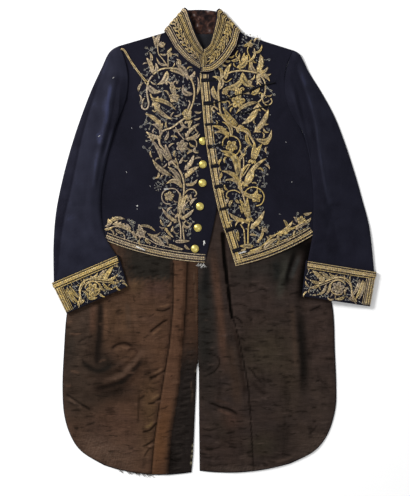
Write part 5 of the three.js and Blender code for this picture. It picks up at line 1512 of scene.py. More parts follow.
    def sprig(self, room, reach, seed, pull=1.0):
        """Small leaves and coils that grow out of what is there, in to the empty ground inside room."""
        r = np.random.default_rng(seed)
        have = np.concatenate(self.V)
        out = []
        cand = room(r, 5000)
        near = np.empty((len(cand), 2))
        dist = np.empty(len(cand))
        for a in range(0, len(cand), 400):
            c = cand[a:a + 400]
            dd = ((c[:, None] - have[None]) ** 2).sum(2)
            k = dd.argmin(1)
            dist[a:a + 400] = np.sqrt(dd[np.arange(len(c)), k])
            near[a:a + 400] = have[k]
        took = np.zeros((0, 2))
        for i in np.argsort(-dist + r.uniform(-1.5, 1.5, len(dist))):
            if dist[i] < reach:
                continue
            if len(took) and np.hypot(*(took - cand[i]).T).min() < dist[i] * 0.95 + 2.6:
                continue
            took = np.vstack([took, cand[i]])
            v = cand[i] - near[i]
            L = np.hypot(*v)
            v = v / L
            ln = min(15.0, L * 1.75)
            p0 = cand[i] - v * min(L, ln * 0.6)
            if r.random() < 0.55:
                out.append((p0, p0 + v * ln * 0.8))
                continue
            self.leaf(p0, p0 + v * ln * 1.15, ln * r.uniform(0.27, 0.36), r.choice([-1, 1]) * r.uniform(0.14, 0.3), 0, 1.5, None, 0.15, True, 8)
        return out

    def line(self, pts, width, height=1.1, tone=None, taper=0.0, dark=0.0, step_mm=None, end_taper=None):
        """A couched cord along a line, which may narrow towards its ends."""
        pts = resample(pts, step_mm or max(1.2, width * 0.9))
        d = np.gradient(pts, axis=0)
        d /= np.maximum(np.linalg.norm(d, axis=1, keepdims=True), 1e-9)
        m = np.stack([-d[:, 1], d[:, 0]], 1)
        n = len(pts)
        t = np.linspace(0, 1, n)
        w = width * (1 - taper * (1 - np.minimum(1, 6 * np.minimum(t, 1 - t)))) / 2
        if end_taper:
            w = w * (1 - end_taper * t)
        s = np.array([-1.0, -0.8, -0.3, 0.3, 0.8, 1.0])
        P = pts[:, None] + m[:, None] * (w[:, None] * s[None])[..., None]
        hh = np.array([-0.5, 0.55, 1.0, 1.0, 0.55, -0.5])[None] * height
        H = np.repeat(hh, n, 0)
        H[0], H[-1] = -0.3, -0.3
        run = np.concatenate([[0], np.cumsum(np.linalg.norm(np.diff(pts, axis=0), axis=1))])
        uv = np.dstack([np.tile((s * width / 2)[None], (n, 1)), np.tile(run[:, None], (1, len(s)))])
        # dark at the cord's sides: painted shade where it sinks to the ground
        dk = np.tile(np.array([0.6, 0.15, 0, 0, 0.15, 0.6])[None], (n, 1))
        self.grid(P, H, uv, np.maximum(dk, dark), self.pick(pts[0]) if tone is None else tone)

    def ring(self, p, r, width=0.9):
        a = np.linspace(0, 1.9 * math.pi, 11) + self.r.uniform(0, math.tau)
        q = r * np.linspace(1.0, 0.8, 11)
        self.line(np.stack([p[0] + q * np.cos(a), p[1] + q * np.sin(a)], 1), width, 0.8, None, step_mm=1.3)

    def dome(self, p, r, height, tone=None, seg=9, dark=0.0):
        a = np.linspace(0, math.tau, seg + 1)
        q = np.array([1.0, 0.86, 0.5, 0.05])
        P = np.array(p, float) + np.dstack([q[:, None] * r * np.cos(a)[None], q[:, None] * r * np.sin(a)[None]])
        H = np.array([-0.3, 0.45, 0.88, 1.0])[:, None] * height + 0 * a[None]
        uv = P - np.array(p, float)
        self.grid(P, H, uv, dark, self.pick(p) if tone is None else tone)

    def flower(self, p, r, petals=5, turn=0.0, tone=None, heart=None, height=1.7):
        tone = self.pick(p) if tone is None else tone
        for k in range(petals):
            a = turn + k * math.tau / petals
            c, s = math.cos(a), math.sin(a)
            self.leaf((p[0] + c * r * 0.16, p[1] + s * r * 0.16), (p[0] + c * r, p[1] + s * r), r * (4.4 / petals) * 0.92, 0,
                      0, height, tone, blunt=1.0, rows=8)
        self.dome(p, r * 0.26, height * 1.05, heart if heart is not None else max(0, tone - 0.2), 10, 0.35)

    def scroll(self, centre, r, start, sweep, width, tone=None, inner=0.55):
        """A stem that coils in to a ring; start and sweep in radians."""
        a = np.linspace(start, start + sweep, 40)
        q = np.linspace(r, r * inner, 40) if abs(sweep) > math.tau else np.full(40, r)
        self.line(np.stack([centre[0] + q * np.cos(a), centre[1] + q * np.sin(a)], 1), width, 1.1, tone)

    def curl(self, p0, p1, width=0.9, size=2.4, tone=None, flip=1):
        """An S of fine thread with a coil at each end."""
        p0, p1 = np.array(p0, float), np.array(p1, float)
        d = p1 - p0
        L = np.hypot(*d)
        e, m = d / L, np.array([-d[1], d[0]]) / L * flip
        pts = []
        for t in np.linspace(1, 0, 16):
            a = t * 1.6 * math.tau
            q = size * (1 - 0.72 * t)
            pts.append(p0 + m * (size - q * math.cos(a)) * 1.0 + e * (q * math.sin(a)))
        for t in np.linspace(0.1, 0.9, 8):
            pts.append(p0 + d * t + m * size * 0.5 * math.sin(t * math.tau))
        for t in np.linspace(0, 1, 16):
            a = t * 1.6 * math.tau
            q = size * (1 - 0.72 * t)
            pts.append(p1 - m * (size - q * math.cos(a)) * 1.0 - e * (q * math.sin(a)) * 1.0)
        self.line(np.array(pts), width, 0.8, tone, step_mm=1.0)

    def calyx(self, p0, p1, width, tone=None, flare=1.3, flip=1):
        """A trumpet of two lips with a dark mouth and a ruff of small petals at its foot."""
        p0, p1 = np.array(p0, float), np.array(p1, float)
        d = p1 - p0
        L = np.hypot(*d)
        e, m = d / L, np.array([-d[1], d[0]]) / L
        tone = self.pick(p0) if tone is None else tone
        self.leaf(p0 - m * width * 0.28, p1 - m * width * 0.5 * flare, width * 0.72, 0.06, 0, 1.9, tone, 0.3)
        self.leaf(p0 + m * width * 0.28, p1 + m * width * 0.5 * flare, width * 0.72, -0.06, 0, 1.9, tone, 0.3)
        self.leaf(p0, p0 + d * 0.72, width * 0.7, 0, 0, 1.6, tone, 0.8)
        self.dome(p0 + d * 0.36, width * 0.17, 2.4, 0.0, 9, 1.0)
        self.dome(p0 + d * 0.56, width * 0.12, 2.3, 0.0, 8, 1.0)
        for k in (-1, 0, 1):
            self.leaf(p0 + m * k * width * 0.2, p0 - e * L * 0.26 + m * k * width * 0.62, width * 0.42, 0, 0, 1.4, max(0, tone - 0.15), 0.8, rows=7)

    def horns(self, p, size, turn, tone=None):
        """Two curling horns over a bud."""
        c, s = math.cos(turn), math.sin(turn)

        def rot(q):
            return (p[0] + (q[0] * c - q[1] * s) * size, p[1] + (q[0] * s + q[1] * c) * size)
        for k in (-1, 1):
            pts = catmull([rot((k * 0.12, -0.1)), rot((k * 0.25, 0.55)), rot((k * 0.62, 0.92)), rot((k * 0.98, 0.72)), rot((k * 0.86, 0.48))], 8)
            self.line(pts, size * 0.26, 1.4, tone)
            self.dome(rot((k * 0.86, 0.55)), size * 0.17, 1.5, tone)
        self.leaf(rot((0, -0.2)), rot((0, 0.85)), size * 0.5, 0, 0, 1.8, tone, 0.6)

    def braid(self, pts, width=15.0, tone=None, centre=0.52, cords=True, dots=True, ear=4.0, flip=1, solid=False):
        """An ear-of-wheat braid between two cords, with a dotted line of stitches in each gap."""
        pts = resample(pts, 2.0)
        run = np.concatenate([[0], np.cumsum(np.linalg.norm(np.diff(pts, axis=0), axis=1))])
        d = np.gradient(pts, axis=0)
        d /= np.maximum(np.linalg.norm(d, axis=1, keepdims=True), 1e-9)
        m = np.stack([-d[:, 1], d[:, 0]], 1)
        core = width * centre

        def at(s, off):
            return np.array([np.interp(s, run, pts[:, 0]), np.interp(s, run, pts[:, 1])]) + off * np.array([np.interp(s, run, m[:, 0]), np.interp(s, run, m[:, 1])])
        base = self.pick(pts[0]) if tone is None else tone
        n = len(pts)
        s = np.array([-1, -0.94, 0, 0.94, 1])
        P = pts[:, None] + m[:, None] * (core / 2 * s)[None, :, None]
        H = np.tile(np.array([-0.4, 0.5, 0.7, 0.5, -0.4])[None], (n, 1))
        self.grid(P, H, np.dstack([np.tile((s * core / 2)[None], (n, 1)), np.tile(run[:, None], (1, 5))]), 0.6 if solid else 0.85, base)
        for k in range(int(run[-1] / ear)):
            s0 = (k + 0.1) * ear
            for q in (-1, 1):
                tn = float(np.clip(self.tone(at(s0, 0)) + self.r.normal(0, 0.12), 0, 1)) if tone is None else float(np.clip(tone + self.r.normal(0, 0.12), 0, 1))
                if solid:
                    self.leaf(at(s0, q * core * 0.02), at(min(run[-1], s0 + ear * 1.3), q * core * 0.36), core * 0.60, q * 0.06, 0, 1.5, tn, 0.7, rib=False, rows=5)
                else:
                    self.leaf(at(s0, q * core * 0.06), at(min(run[-1], s0 + ear * 1.25), q * core * 0.44), core * 0.42, q * 0.08, 0, 1.45, tn, 0.4, rib=False, rows=5)
            if self.r.random() < 0.42:
                self.dome(at(s0 + ear * 0.6, self.r.uniform(-0.3, 0.3) * core), 0.85, 1.75, 0.0, 6, 1.0)
        if cords:
            for q in (-1, 1):
                w = width * 0.115
                off = q * (width / 2 - w / 2)
                self.line(pts + m * off, w, 1.15, None if tone is None else tone, step_mm=2.2)
        if dots:
            for q in (-1, 1):
                off = q * (core / 2 + (width / 2 - core / 2) * 0.40)
                for k in range(int(run[-1] / 6.0)):
                    a, b = at(k * 6.0 + 1.0, off), at(k * 6.0 + 2.8, off)
                    self.line(np.array([a, b]), width * 0.05, 0.7, base, step_mm=1.0)

    def build(self, name, material, slot):
        if not self.V:
            return None
        V, H = np.concatenate(self.V), np.concatenate(self.H)
        P, N = self.face.at(V, H + 0.12)
        F = np.concatenate(self.F)
        q = P[F]
        fn = np.cross(q[:, 2] - q[:, 0], q[:, 3] - q[:, 1])
        flip = np.einsum("ij,ij->i", fn, N[F[:, 0]]) < 0
        F[flip] = F[flip][:, ::-1]
        ob = new_mesh(name, P, F, material, np.concatenate(self.UV), {"tone": np.concatenate(self.T), "dark": np.concatenate(self.D)})
        keep(ob, slot)
        return ob


def tone_left(p):
    """The left front keeps more of its yellow, most of all towards its edge and its middle."""
    return 0.62 + 0.24 * math.exp(-((p[0] - 40) / 45) ** 2) - 0.10 * (p[0] > 100)


def tone_right(p):
    return 0.22


G = lambda x, y: (float(LX(x)), float(LY(y)))


# One front's foliage in the layout grid. kind, from, to, width in steps, bend, teeth
FRONT_LEAVES = [
    ((254, 246.3), (239.5, 246), 3.6, 0.0, 0), ((249, 224), (235, 227.5), 2.2, 0.28, 0), ((249.5, 229), (264.5, 210.5), 4.8, 0.06, 4),
    ((247, 221), (229.5, 213), 4.4, -0.08, 4), ((242, 214), (238.5, 205), 2.2, 0.1, 0), ((242.5, 191), (258, 187.5), 3.4, 0.30, 0),
    ((242, 194), (257, 184), 2.2, 0.34, 0), ((241, 190), (221.5, 171), 4.8, 0.14, 5), ((241, 192), (224.5, 180.5), 3.6, 0.20, 3),
    ((237.5, 176.5), (219.8, 150.5), 5.6, 0.17, 0), ((241.5, 177), (250.5, 163.5), 2.4, -0.1, 3), ((242.5, 186), (253.5, 169), 4.6, 0.10, 4),
    ((243.4, 188.5), (266.8, 158), 4.8, -0.07, 5), ((229, 198.5), (226.5, 204.5), 2.4, 0.1, 0), ((233, 200), (229.5, 207.5), 2.4, 0.1, 0), ((236, 199), (240, 203), 2.2, 0.1, 0),
    ((229, 137.5), (212.6, 126), 4.4, 0.10, 4), ((229, 139), (213.8, 133.5), 3.2, 0.18, 3), ((231, 137), (222, 121.8), 3.0, 0.16, 0),
    ((218.4, 100), (213.4, 85.5), 4.2, -0.08, 0), ((218.8, 90), (212.6, 76.5), 4.2, 0.28, 0), ((224.6, 88), (242.6, 74), 4.8, 0.16, 0),
    ((242.6, 72), (254.6, 86.5), 5.0, 0.15, 0), ((225.6, 80), (231.5, 63), 3.6, -0.06, 0), ((236.4, 67.5), (247.5, 55), 4.0, 0.14, 0),
    ((257, 73), (260.4, 54), 5.6, 0.08, 4), ((256.5, 72), (252.6, 60.5), 3.4, -0.16, 0), ((257.6, 73), (270, 81.5), 3.6, -0.1, 0),
    ((258.6, 74), (263.2, 84), 2.6, 0.1, 0), ((259, 73), (268, 66.5), 3.4, 0.1, 4), ((260, 73.5), (271.5, 73.5), 2.8, 0.1, 3),
    ((257, 74), (256.6, 85), 3.2, -0.1, 0), ((251, 94), (259.8, 87.2), 3.8, 0.08, 0), ((258, 102), (235.6, 114), 3.0, 0.08, 0),
    ((258, 103), (241.5, 124), 6.0, -0.10, 3), ((257.5, 104), (247.5, 118), 3.6, -0.12, 0), ((253.4, 133), (268.4, 109), 5.6, 0.06, 5),
    ((255.5, 139), (271.4, 129.5), 4.0, 0.26, 0), ((261, 143), (269.4, 136.4), 2.8, 0.22, 0), ((246.5, 133.5), (252.6, 146), 3.2, 0.1, 0),
    ((239, 130.5), (251, 136.5), 3.0, -0.18, 0), ((220.5, 78.5), (216.5, 66.5), 2.6, 0.18, 0), ((231, 60.5), (239.5, 52.5), 2.6, 0.2, 0),
    ((247, 62), (254, 47.5), 2.6, 0.16, 3), ((252, 52), (262, 44), 2.4, 0.2, 3), ((243, 46), (251.5, 39), 2.4, 0.1, 0),
    ((246.5, 153), (240.5, 165.5), 2.6, 0.16, 0), ((262.5, 120), (268.8, 124), 2.2, 0.2, 0), ((212.6, 87), (215.6, 98), 2.4, 0.1, 0),
]
FRONT_STEMS = [   # points, width in steps
    ([(245, 244.5), (244.6, 236), (243.6, 229), (240, 224.2)], 1.5), ([(248.2, 244.5), (248.2, 236), (248.4, 228), (249.8, 220)], 1.5),
    ([(248.6, 220), (246.6, 208), (243.8, 197), (241.6, 188), (240.6, 176), (242.2, 168)], 1.8),
    ([(243.8, 197), (246.6, 190), (253, 187), (260.5, 189.5), (264.3, 196), (262, 203.5), (256, 206)], 1.3),
    ([(240.5, 193), (234.5, 190.2), (228, 191.8), (226.4, 196.4), (229.2, 198.2)], 1.3),
    ([(250.5, 164), (247, 170), (243, 176)], 1.2), ([(255, 145), (251.5, 138), (246, 132), (240.5, 129)], 2.2),
    ([(241.5, 129.5), (233, 126), (225, 120), (220.5, 112), (219.4, 102), (218.4, 90), (221, 79), (229, 72.5), (240, 70.4), (250, 71.2), (257.5, 72.8)], 1.9),
    ([(257.5, 73), (264.2, 80), (265.6, 89), (263, 97), (258, 102.5)], 1.7), ([(258, 103), (262.5, 108.2), (266.3, 111)], 1.6),
    ([(262.5, 93), (263, 101), (267.5, 105.4), (272, 102), (270.8, 98)], 1.4),
    ([(222.6, 146), (223.4, 139.6), (229.5, 135.6), (237.6, 138.4), (240.6, 146), (237.6, 153.4), (230.6, 156.4), (224, 154)], 1.4),
    ([(240.2, 150), (243.5, 158), (243.5, 168), (241.5, 178)], 1.4), ([(218.4, 110), (213.6, 106.2), (212.2, 109.6), (215, 111.4)], 1.8),
    ([(222, 79), (226.5, 82), (232, 78)], 1.0), ([(240, 70), (240, 61), (236, 55), (238, 50)], 1.1), ([(249, 70), (250, 58), (247.5, 50), (250.5, 43)], 1.1),
    ([(262, 86), (258, 81), (258.8, 76)], 1.0), ([(228, 107), (233, 103)], 1.0),
]
FRONT_FLOWERS = [((256.4, 197.2), 5.6, 5, 0.3, 0.15), ((231.6, 146.2), 6.2, 5, 0.9, 0.0), ((238.3, 101.4), 7.2, 5, 0.2, 0.25),
                 ((225.2, 91.6), 3.6, 4, 0.5, 0.2), ((249.8, 82.4), 2.8, 5, 0.5, -0.2), ((250.6, 44.5), 2.8, 5, 0.1, -0.1)]
FRONT_CALYX = [((248.6, 217.6), (243.6, 198.2), 6.2), ((253.2, 159.6), (258.2, 142.6), 6.4), ((237.2, 126), (219.8, 109.6), 6.4), ((238.3, 97), (238.6, 89.2), 5.0), ((241.8, 61.6), (246.6, 53), 3.4)]
FRONT_CURLS = [((268, 86.6), (273, 95.4)), ((252.4, 118), (256, 126)), ((245.4, 141.4), (249.4, 147)), ((262.4, 176), (266, 186)), ((232, 158.4), (236, 166)),
               ((258, 214), (264, 222)), ((226, 160), (229, 168)), ((212.6, 116), (209.6, 123)), ((244, 106), (250, 101)), ((229, 83.6), (233.4, 92)),
               ((236.6, 206), (232.6, 211)), ((262.6, 61), (268.6, 58)), ((253.6, 229), (259, 236)), ((231, 222), (238, 219.4)), ((262, 148), (266.5, 154)),
               ((224.6, 100.5), (227.5, 107.6)), ((214.6, 139.4), (211.6, 146)), ((232, 46.4), (228.6, 53)), ((260.5, 40), (256.6, 47))]
FRONT_BUNCH = [((255.4, 236), 4.4), ((262.6, 226.5), 3.4), ((240.8, 80.6), 3.4), ((228.4, 221), 2.6), ((264.4, 170), 2.8), ((236, 232), 2.6), ((244.6, 152), 2.6)]


LEFT_SHARE = dict(leaves=FRONT_LEAVES, stems=FRONT_STEMS, flowers=FRONT_FLOWERS, calyx=FRONT_CALYX, curls=FRONT_CURLS, bunch=FRONT_BUNCH,
                  horns=[((238.6, 92.6), 5.6, 0.0), ((261.6, 97.4), 4.2, -0.5)],
                  lo=([40, 60, 72, 100, 136, 176, 208, 240], [243, 226, 213, 211, 213, 218, 226, 236]),
                  hi=([40, 90, 130, 158, 202, 240], [258, 271, 270, 268, 265, 258]))
RIGHT_SHARE = dict(
    leaves=[
        ((156.7, 48), (152.2, 35.6), 3.6, 0.08, 0), ((157.4, 44), (161.2, 33.4), 3.4, -0.1, 0), ((161.6, 40.4), (164.6, 47), 2.0, 0.3, 0),
        ((169.3, 64), (156.4, 57), 1.8, -0.18, 0), ((152.8, 74.4), (146.2, 57.4), 3.9, 0.06, 4), ((155.3, 72.6), (155.4, 62.6), 2.6, 0.1, 0),
        ((167.0, 70.6), (157.0, 84.2), 4.4, -0.14, 0), ((169.6, 69.8), (184.6, 77.4), 3.9, -0.12, 0), ((177.2, 64.4), (187.9, 80.4), 4.3, -0.08, 0),
        ((178.6, 66), (176.2, 58.6), 2.4, 0.2, 0), ((188.4, 78), (194.6, 70.6), 3.2, 0.12, 3), ((196.8, 95.4), (197.4, 76.4), 1.7, 0.06, 0),
        ((193.2, 93.6), (183.0, 84.6), 3.8, -0.22, 0), ((147.8, 84.6), (161.6, 91.2), 4.4, 0.14, 0), ((138.2, 91.6), (143.6, 82.2), 2.0, -0.1, 0),
        ((151, 99.2), (176.0, 110.2), 3.4, -0.08, 0), ((152.4, 99.8), (172.6, 119.2), 4.0, 0.08, 5), ((153.0, 103), (157.6, 110.6), 2.0, -0.3, 0),
        ((162.8, 129), (145.0, 113.6), 3.9, 0.07, 5), ((172.4, 130), (183.8, 123.4), 2.4, 0.2, 0), ((180.6, 119.6), (188.6, 127.6), 2.4, 0.15, 0),
        ((192.4, 119.6), (189.8, 130.2), 2.4, 0.1, 0), ((161.9, 138.4), (146.0, 131.4), 3.6, -0.06, 4), ((162.2, 162.2), (149.4, 138), 2.8, 0.06, 0),
        ((152.6, 143.4), (147.0, 137.2), 2.4, 0.24, 0), ((164.2, 140.6), (168.2, 131), 2.4, 0.08, 0), ((160.4, 136), (158.2, 126.6), 2.8, 0.1, 0),
        ((184.8, 139), (198.4, 131.6), 3.0, 0.10, 4), ((185.2, 138.2), (199.8, 123.2), 3.0, -0.06, 5), ((186.6, 137.6), (200.2, 133.4), 2.6, 0.14, 3), ((195.4, 146.4), (199.0, 152.6), 1.9, 0.3, 0),
        ((184.0, 170.2), (193.9, 154.4), 3.8, 0.06, 4), ((178.4, 163.6), (182.2, 156.8), 2.0, 0.1, 0), ((177.6, 163.6), (175.8, 157.6), 1.8, -0.1, 0),
        ((171.6, 175.4), (152.4, 158.8), 3.9, -0.07, 0), ((181.0, 181.4), (167.6, 166.6), 3.5, 0.05, 0), ((184.8, 178.6), (199.2, 166.6), 4.2, -0.06, 5),
        ((185.0, 184.0), (197.6, 178.8), 2.9, 0.14, 3), ((182.6, 188.2), (166.0, 183.8), 3.8, 0.20, 0), ((181.6, 186.4), (172, 176), 2.2, 0.06, 0),
        ((184.0, 214.6), (189.0, 200.8), 2.0, -0.12, 0), ((190.0, 206), (197.4, 197.8), 1.9, -0.1, 0), ((188.0, 194.6), (191.6, 201.4), 1.7, 0.2, 0),
        ((191.0, 193.6), (194.4, 200.0), 1.7, 0.2, 0), ((180.6, 219.0), (194.0, 208.8), 3.0, 0.05, 4), ((178.6, 222.6), (162.0, 208.0), 3.2, -0.06, 5),
        ((181.9, 221.6), (192.6, 222.4), 1.9, 0.34, 0), ((174.4, 241.6), (189.8, 241.0), 2.9, 0.0, 0), ((168.4, 244.2), (183.8, 249.2), 3.1, 0.05, 0),
        ((165.0, 227.0), (173.6, 237.4), 2.2, 0.05, 4), ((170.6, 232), (172.4, 226), 1.6, 0.1, 0), ((160.8, 130.6), (152.0, 124.2), 3.0, 0.1, 0),
        ((176.6, 60.6), (183.0, 66.4), 2.2, 0.14, 0), ((150.6, 62), (149.4, 52), 2.2, 0.1, 0), ((166.6, 52), (171.4, 47.2), 2.4, 0.1, 3),
    ],
    stems=[
        ([(180.8, 239.8), (180.8, 231), (180.2, 224), (178.6, 219.6)], 1.5), ([(184.3, 239.8), (183.2, 231), (183.4, 224), (186.4, 220.4)], 1.5),
        ([(178.6, 220), (180.2, 212), (182.4, 202), (184.0, 191), (183.4, 180), (178.6, 168.8), (170.6, 160.6)], 1.8),
        ([(181.4, 205), (180.0, 195.4), (176.0, 189.4), (169.2, 188.6), (163.0, 192.2), (161.9, 198.6), (165.4, 203.4), (170.6, 203.8)], 1.3),
        ([(184.6, 193.6), (188.0, 189.8), (193.4, 189.4), (196.6, 193.2), (194.6, 196.4)], 1.4),
        ([(174.4, 166.4), (180.0, 170.4), (183.2, 177)], 1.1), ([(178.2, 168), (177.6, 162.6)], 1.0),
        ([(164.6, 150), (159.6, 143.6), (160.2, 136), (163.4, 130.6), (171.6, 127.6), (179.2, 122.0), (185.4, 117.6)], 2.0),
        ([(186.4, 116), (190.4, 109.0), (193.6, 100), (194.4, 90), (192.4, 81.4), (187.6, 75.6), (180.6, 70.4), (170.6, 67.8), (160.2, 69.2), (153.2, 74.2)], 1.9),
        ([(152.6, 75), (148.6, 81), (146.9, 90), (148.0, 99), (148.8, 104.6), (146.4, 109.0), (142.4, 108.0), (141.6, 104.2)], 1.9),
        ([(150.2, 93.4), (152.0, 97.4), (156.0, 98.6), (158.2, 96.2)], 1.7), ([(152.4, 110), (154.4, 111.6), (157.4, 109.4)], 1.5),
        ([(188.0, 100.4), (190.2, 102.0), (189.2, 105.4), (187.4, 110)], 1.7), ([(157.6, 45), (158.4, 53), (163.6, 60), (168.4, 67)], 1.1),
        ([(168.4, 66), (168.0, 58), (169.6, 52)], 1.1), ([(184.4, 139.4), (179.0, 133.4), (175.4, 127)], 1.2), ([(193.0, 138), (196.6, 142), (196.4, 147)], 1.2),
    ],
    flowers=[((187.0, 113.8), 5.2, 5, 0.5, 0.1), ((174.2, 97.4), 5.6, 5, 0.3, 0.1), ((169.2, 196.2), 5.2, 5, 0.2, 0.1), ((182.2, 146.0), 6.4, 6, 0.5, 0.05), ((169.6, 54.0), 3.0, 5, 0.2, 0.0), ((163.0, 44), 2.4, 4, 0.3, 0)],
    calyx=[((179.4, 213.4), (183.6, 193.2), 5.8), ((170.2, 160.4), (162.0, 146.0), 6.0), ((188.0, 120.6), (187.4, 109.4), 5.4), ((174.2, 94.4), (172.0, 85.4), 4.0)],
    curls=[((142.4, 93), (139.2, 102)), ((178, 104.6), (185, 103.2)), ((158.2, 113), (161.2, 120)), ((164, 120.6), (166.6, 126.6)), ((147, 46.4), (153.2, 53.6)),
           ((150.4, 47.0), (147.6, 54.6)), ((172.2, 138), (176.0, 131.4)), ((178.4, 153.4), (184.6, 155.6)), ((190.0, 149.6), (194.6, 152.2)), ((188.8, 223.6), (189.6, 235)),
           ((163.4, 217), (166.6, 222)), ((176.6, 224.4), (173.4, 230.2)), ((163.8, 90.6), (163.6, 97.6)), ((171.6, 171.4), (175.2, 166)), ((160.4, 206.4), (165.4, 209.2)),
           ((165.4, 78), (161.4, 83.8)), ((186.6, 89.0), (181.4, 92.4)), ((172.8, 58.6), (176, 53.4)), ((154.6, 176.6), (160.4, 179.4)), ((144.6, 121), (142, 127.4)), ((145.0, 146.2), (147.8, 152.2))],
    bunch=[((169.8, 79.4), 3.2), ((157.8, 186.6), 4.2), ((164.4, 222.6), 3.6), ((174.2, 153.4), 2.6), ((186.8, 207.2), 2.6), ((169.4, 211.8), 2.4), ((165.0, 240.4), 2.2)],
    horns=[((172.2, 86.6), 6.0, 0.10)],
    lo=([34, 60, 90, 120, 138, 158, 190, 240], [158, 146, 138, 144, 145, 152, 159, 162]),
    hi=([34, 48, 60, 74, 90, 130, 180, 206, 240], [160, 170, 182, 196, 198, 199, 198, 194, 190]))


RIGHT_SHARE["leaves"] += [
    ((106.6, 224.0), (125.0, 219.0), 3.6, -0.10, 4), ((111.6, 223.8), (132.2, 233.0), 4.2, -0.07, 5), ((103.8, 229.4), (113.0, 227.2), 1.9, 0.05, 0),
    ((104.6, 226.4), (112.0, 222.6), 1.8, 0.05, 0), ((126.4, 223.6), (131.2, 228.8), 1.9, 0.05, 0), ((139.0, 226.0), (155.4, 231.6), 2.1, -0.10, 0),
    ((147.0, 233.4), (160.4, 232.0), 2.0, 0.16, 0), ((150.0, 235.8), (165.2, 247.0), 4.0, -0.04, 0), ((160.6, 236.0), (167.8, 245.0), 2.4, -0.12, 0),
    ((133.0, 230.4), (137.6, 238.4), 2.6, 0.1, 3), ((145.4, 237.6), (151.2, 243.4), 2.4, 0.12, 0), ((115.0, 228.6), (124.4, 233.6), 2.2, 0.08, 0),
    ((139.8, 230.0), (138.6, 224.0), 2.8, 0.05, 0), ((171.0, 240.0), (165.0, 236.2), 2.0, 0.1, 0), ((184.6, 244.4), (190.0, 249.4), 2.0, 0.1, 0)]
RIGHT_SHARE["flowers"] += [((140.8, 233.2), 5.6, 6, 0.3, -0.05)]
RIGHT_SHARE["stems"] += [([(106, 228.4), (116, 226.6), (127, 229.4), (136, 234.6), (146, 238.0), (156, 243.6), (168, 246.8), (182, 250.0)], 1.1)]
RIGHT_SHARE["curls"] += [((128.4, 221.6), (134.2, 221.0)), ((160.2, 236.0), (166.6, 239.4)), ((131.6, 226.6), (134.6, 231.4))]
RIGHT_SHARE["bunch"] += [((163.6, 235.4), 2.8), ((131.4, 222.4), 2.2)]
LEFT_SHARE["leaves"] = LEFT_SHARE["leaves"] + [
    ((246.8, 253.2), (258.6, 247.4), 3.0, 0.1, 3), ((253.8, 251.0), (262.4, 246.2), 2.8, 0.1, 3), ((263.6, 249.4), (277.8, 238.4), 3.6, -0.06, 0),
    ((268.4, 236.0), (277.0, 233.4), 2.4, 0.1, 3), ((276.6, 235.4), (292.8, 220.6), 4.0, 0.06, 5), ((283.6, 235.6), (296.0, 228.0), 3.4, -0.10, 4),
    ((278.2, 234.6), (280.6, 241.4), 2.2, 0.1, 0), ((295.6, 230.0), (307.6, 224.0), 3.0, -0.1, 0), ((303.4, 213.8), (312.2, 211.8), 2.4, 0.1, 0),
    ((304.0, 222.4), (311.0, 217.4), 2.8, 0.12, 0), ((256.2, 243.4), (262.4, 225.8), 2.9, 0.10, 4), ((237.8, 230.4), (239.4, 241.2), 2.6, 0.06, 0),
    ((269.6, 243.6), (266.4, 236.2), 2.0, 0.1, 0), ((287.0, 227.0), (283.2, 219.8), 2.2, 0.1, 0), ((297.0, 222.6), (293.6, 216.8), 2.2, 0.1, 0),
    ((283.4, 240.4), (291.6, 237.4), 2.0, 0.1, 0), ((240.4, 250.4), (246.4, 247.6), 2.0, 0.1, 0)]
LEFT_SHARE["flowers"] = LEFT_SHARE["flowers"] + [((301.4, 220.2), 4.4, 5, 0.2, 0.1), ((265.2, 229.8), 2.6, 5, 0.1, -0.2)]
LEFT_SHARE["stems"] = LEFT_SHARE["stems"] + [([(250, 251.0), (261.8, 246.2), (270, 238.6), (278.4, 233.0), (288.0, 229.6), (297, 226.0), (306, 219.6)], 1.3)]
LEFT_SHARE["curls"] = LEFT_SHARE["curls"] + [((258.8, 240.0), (262.0, 243.4)), ((295.0, 217.4), (299.0, 214.4)), ((266.6, 226.4), (268.6, 231.6)), ((272.2, 243.4), (276.4, 242.0))]


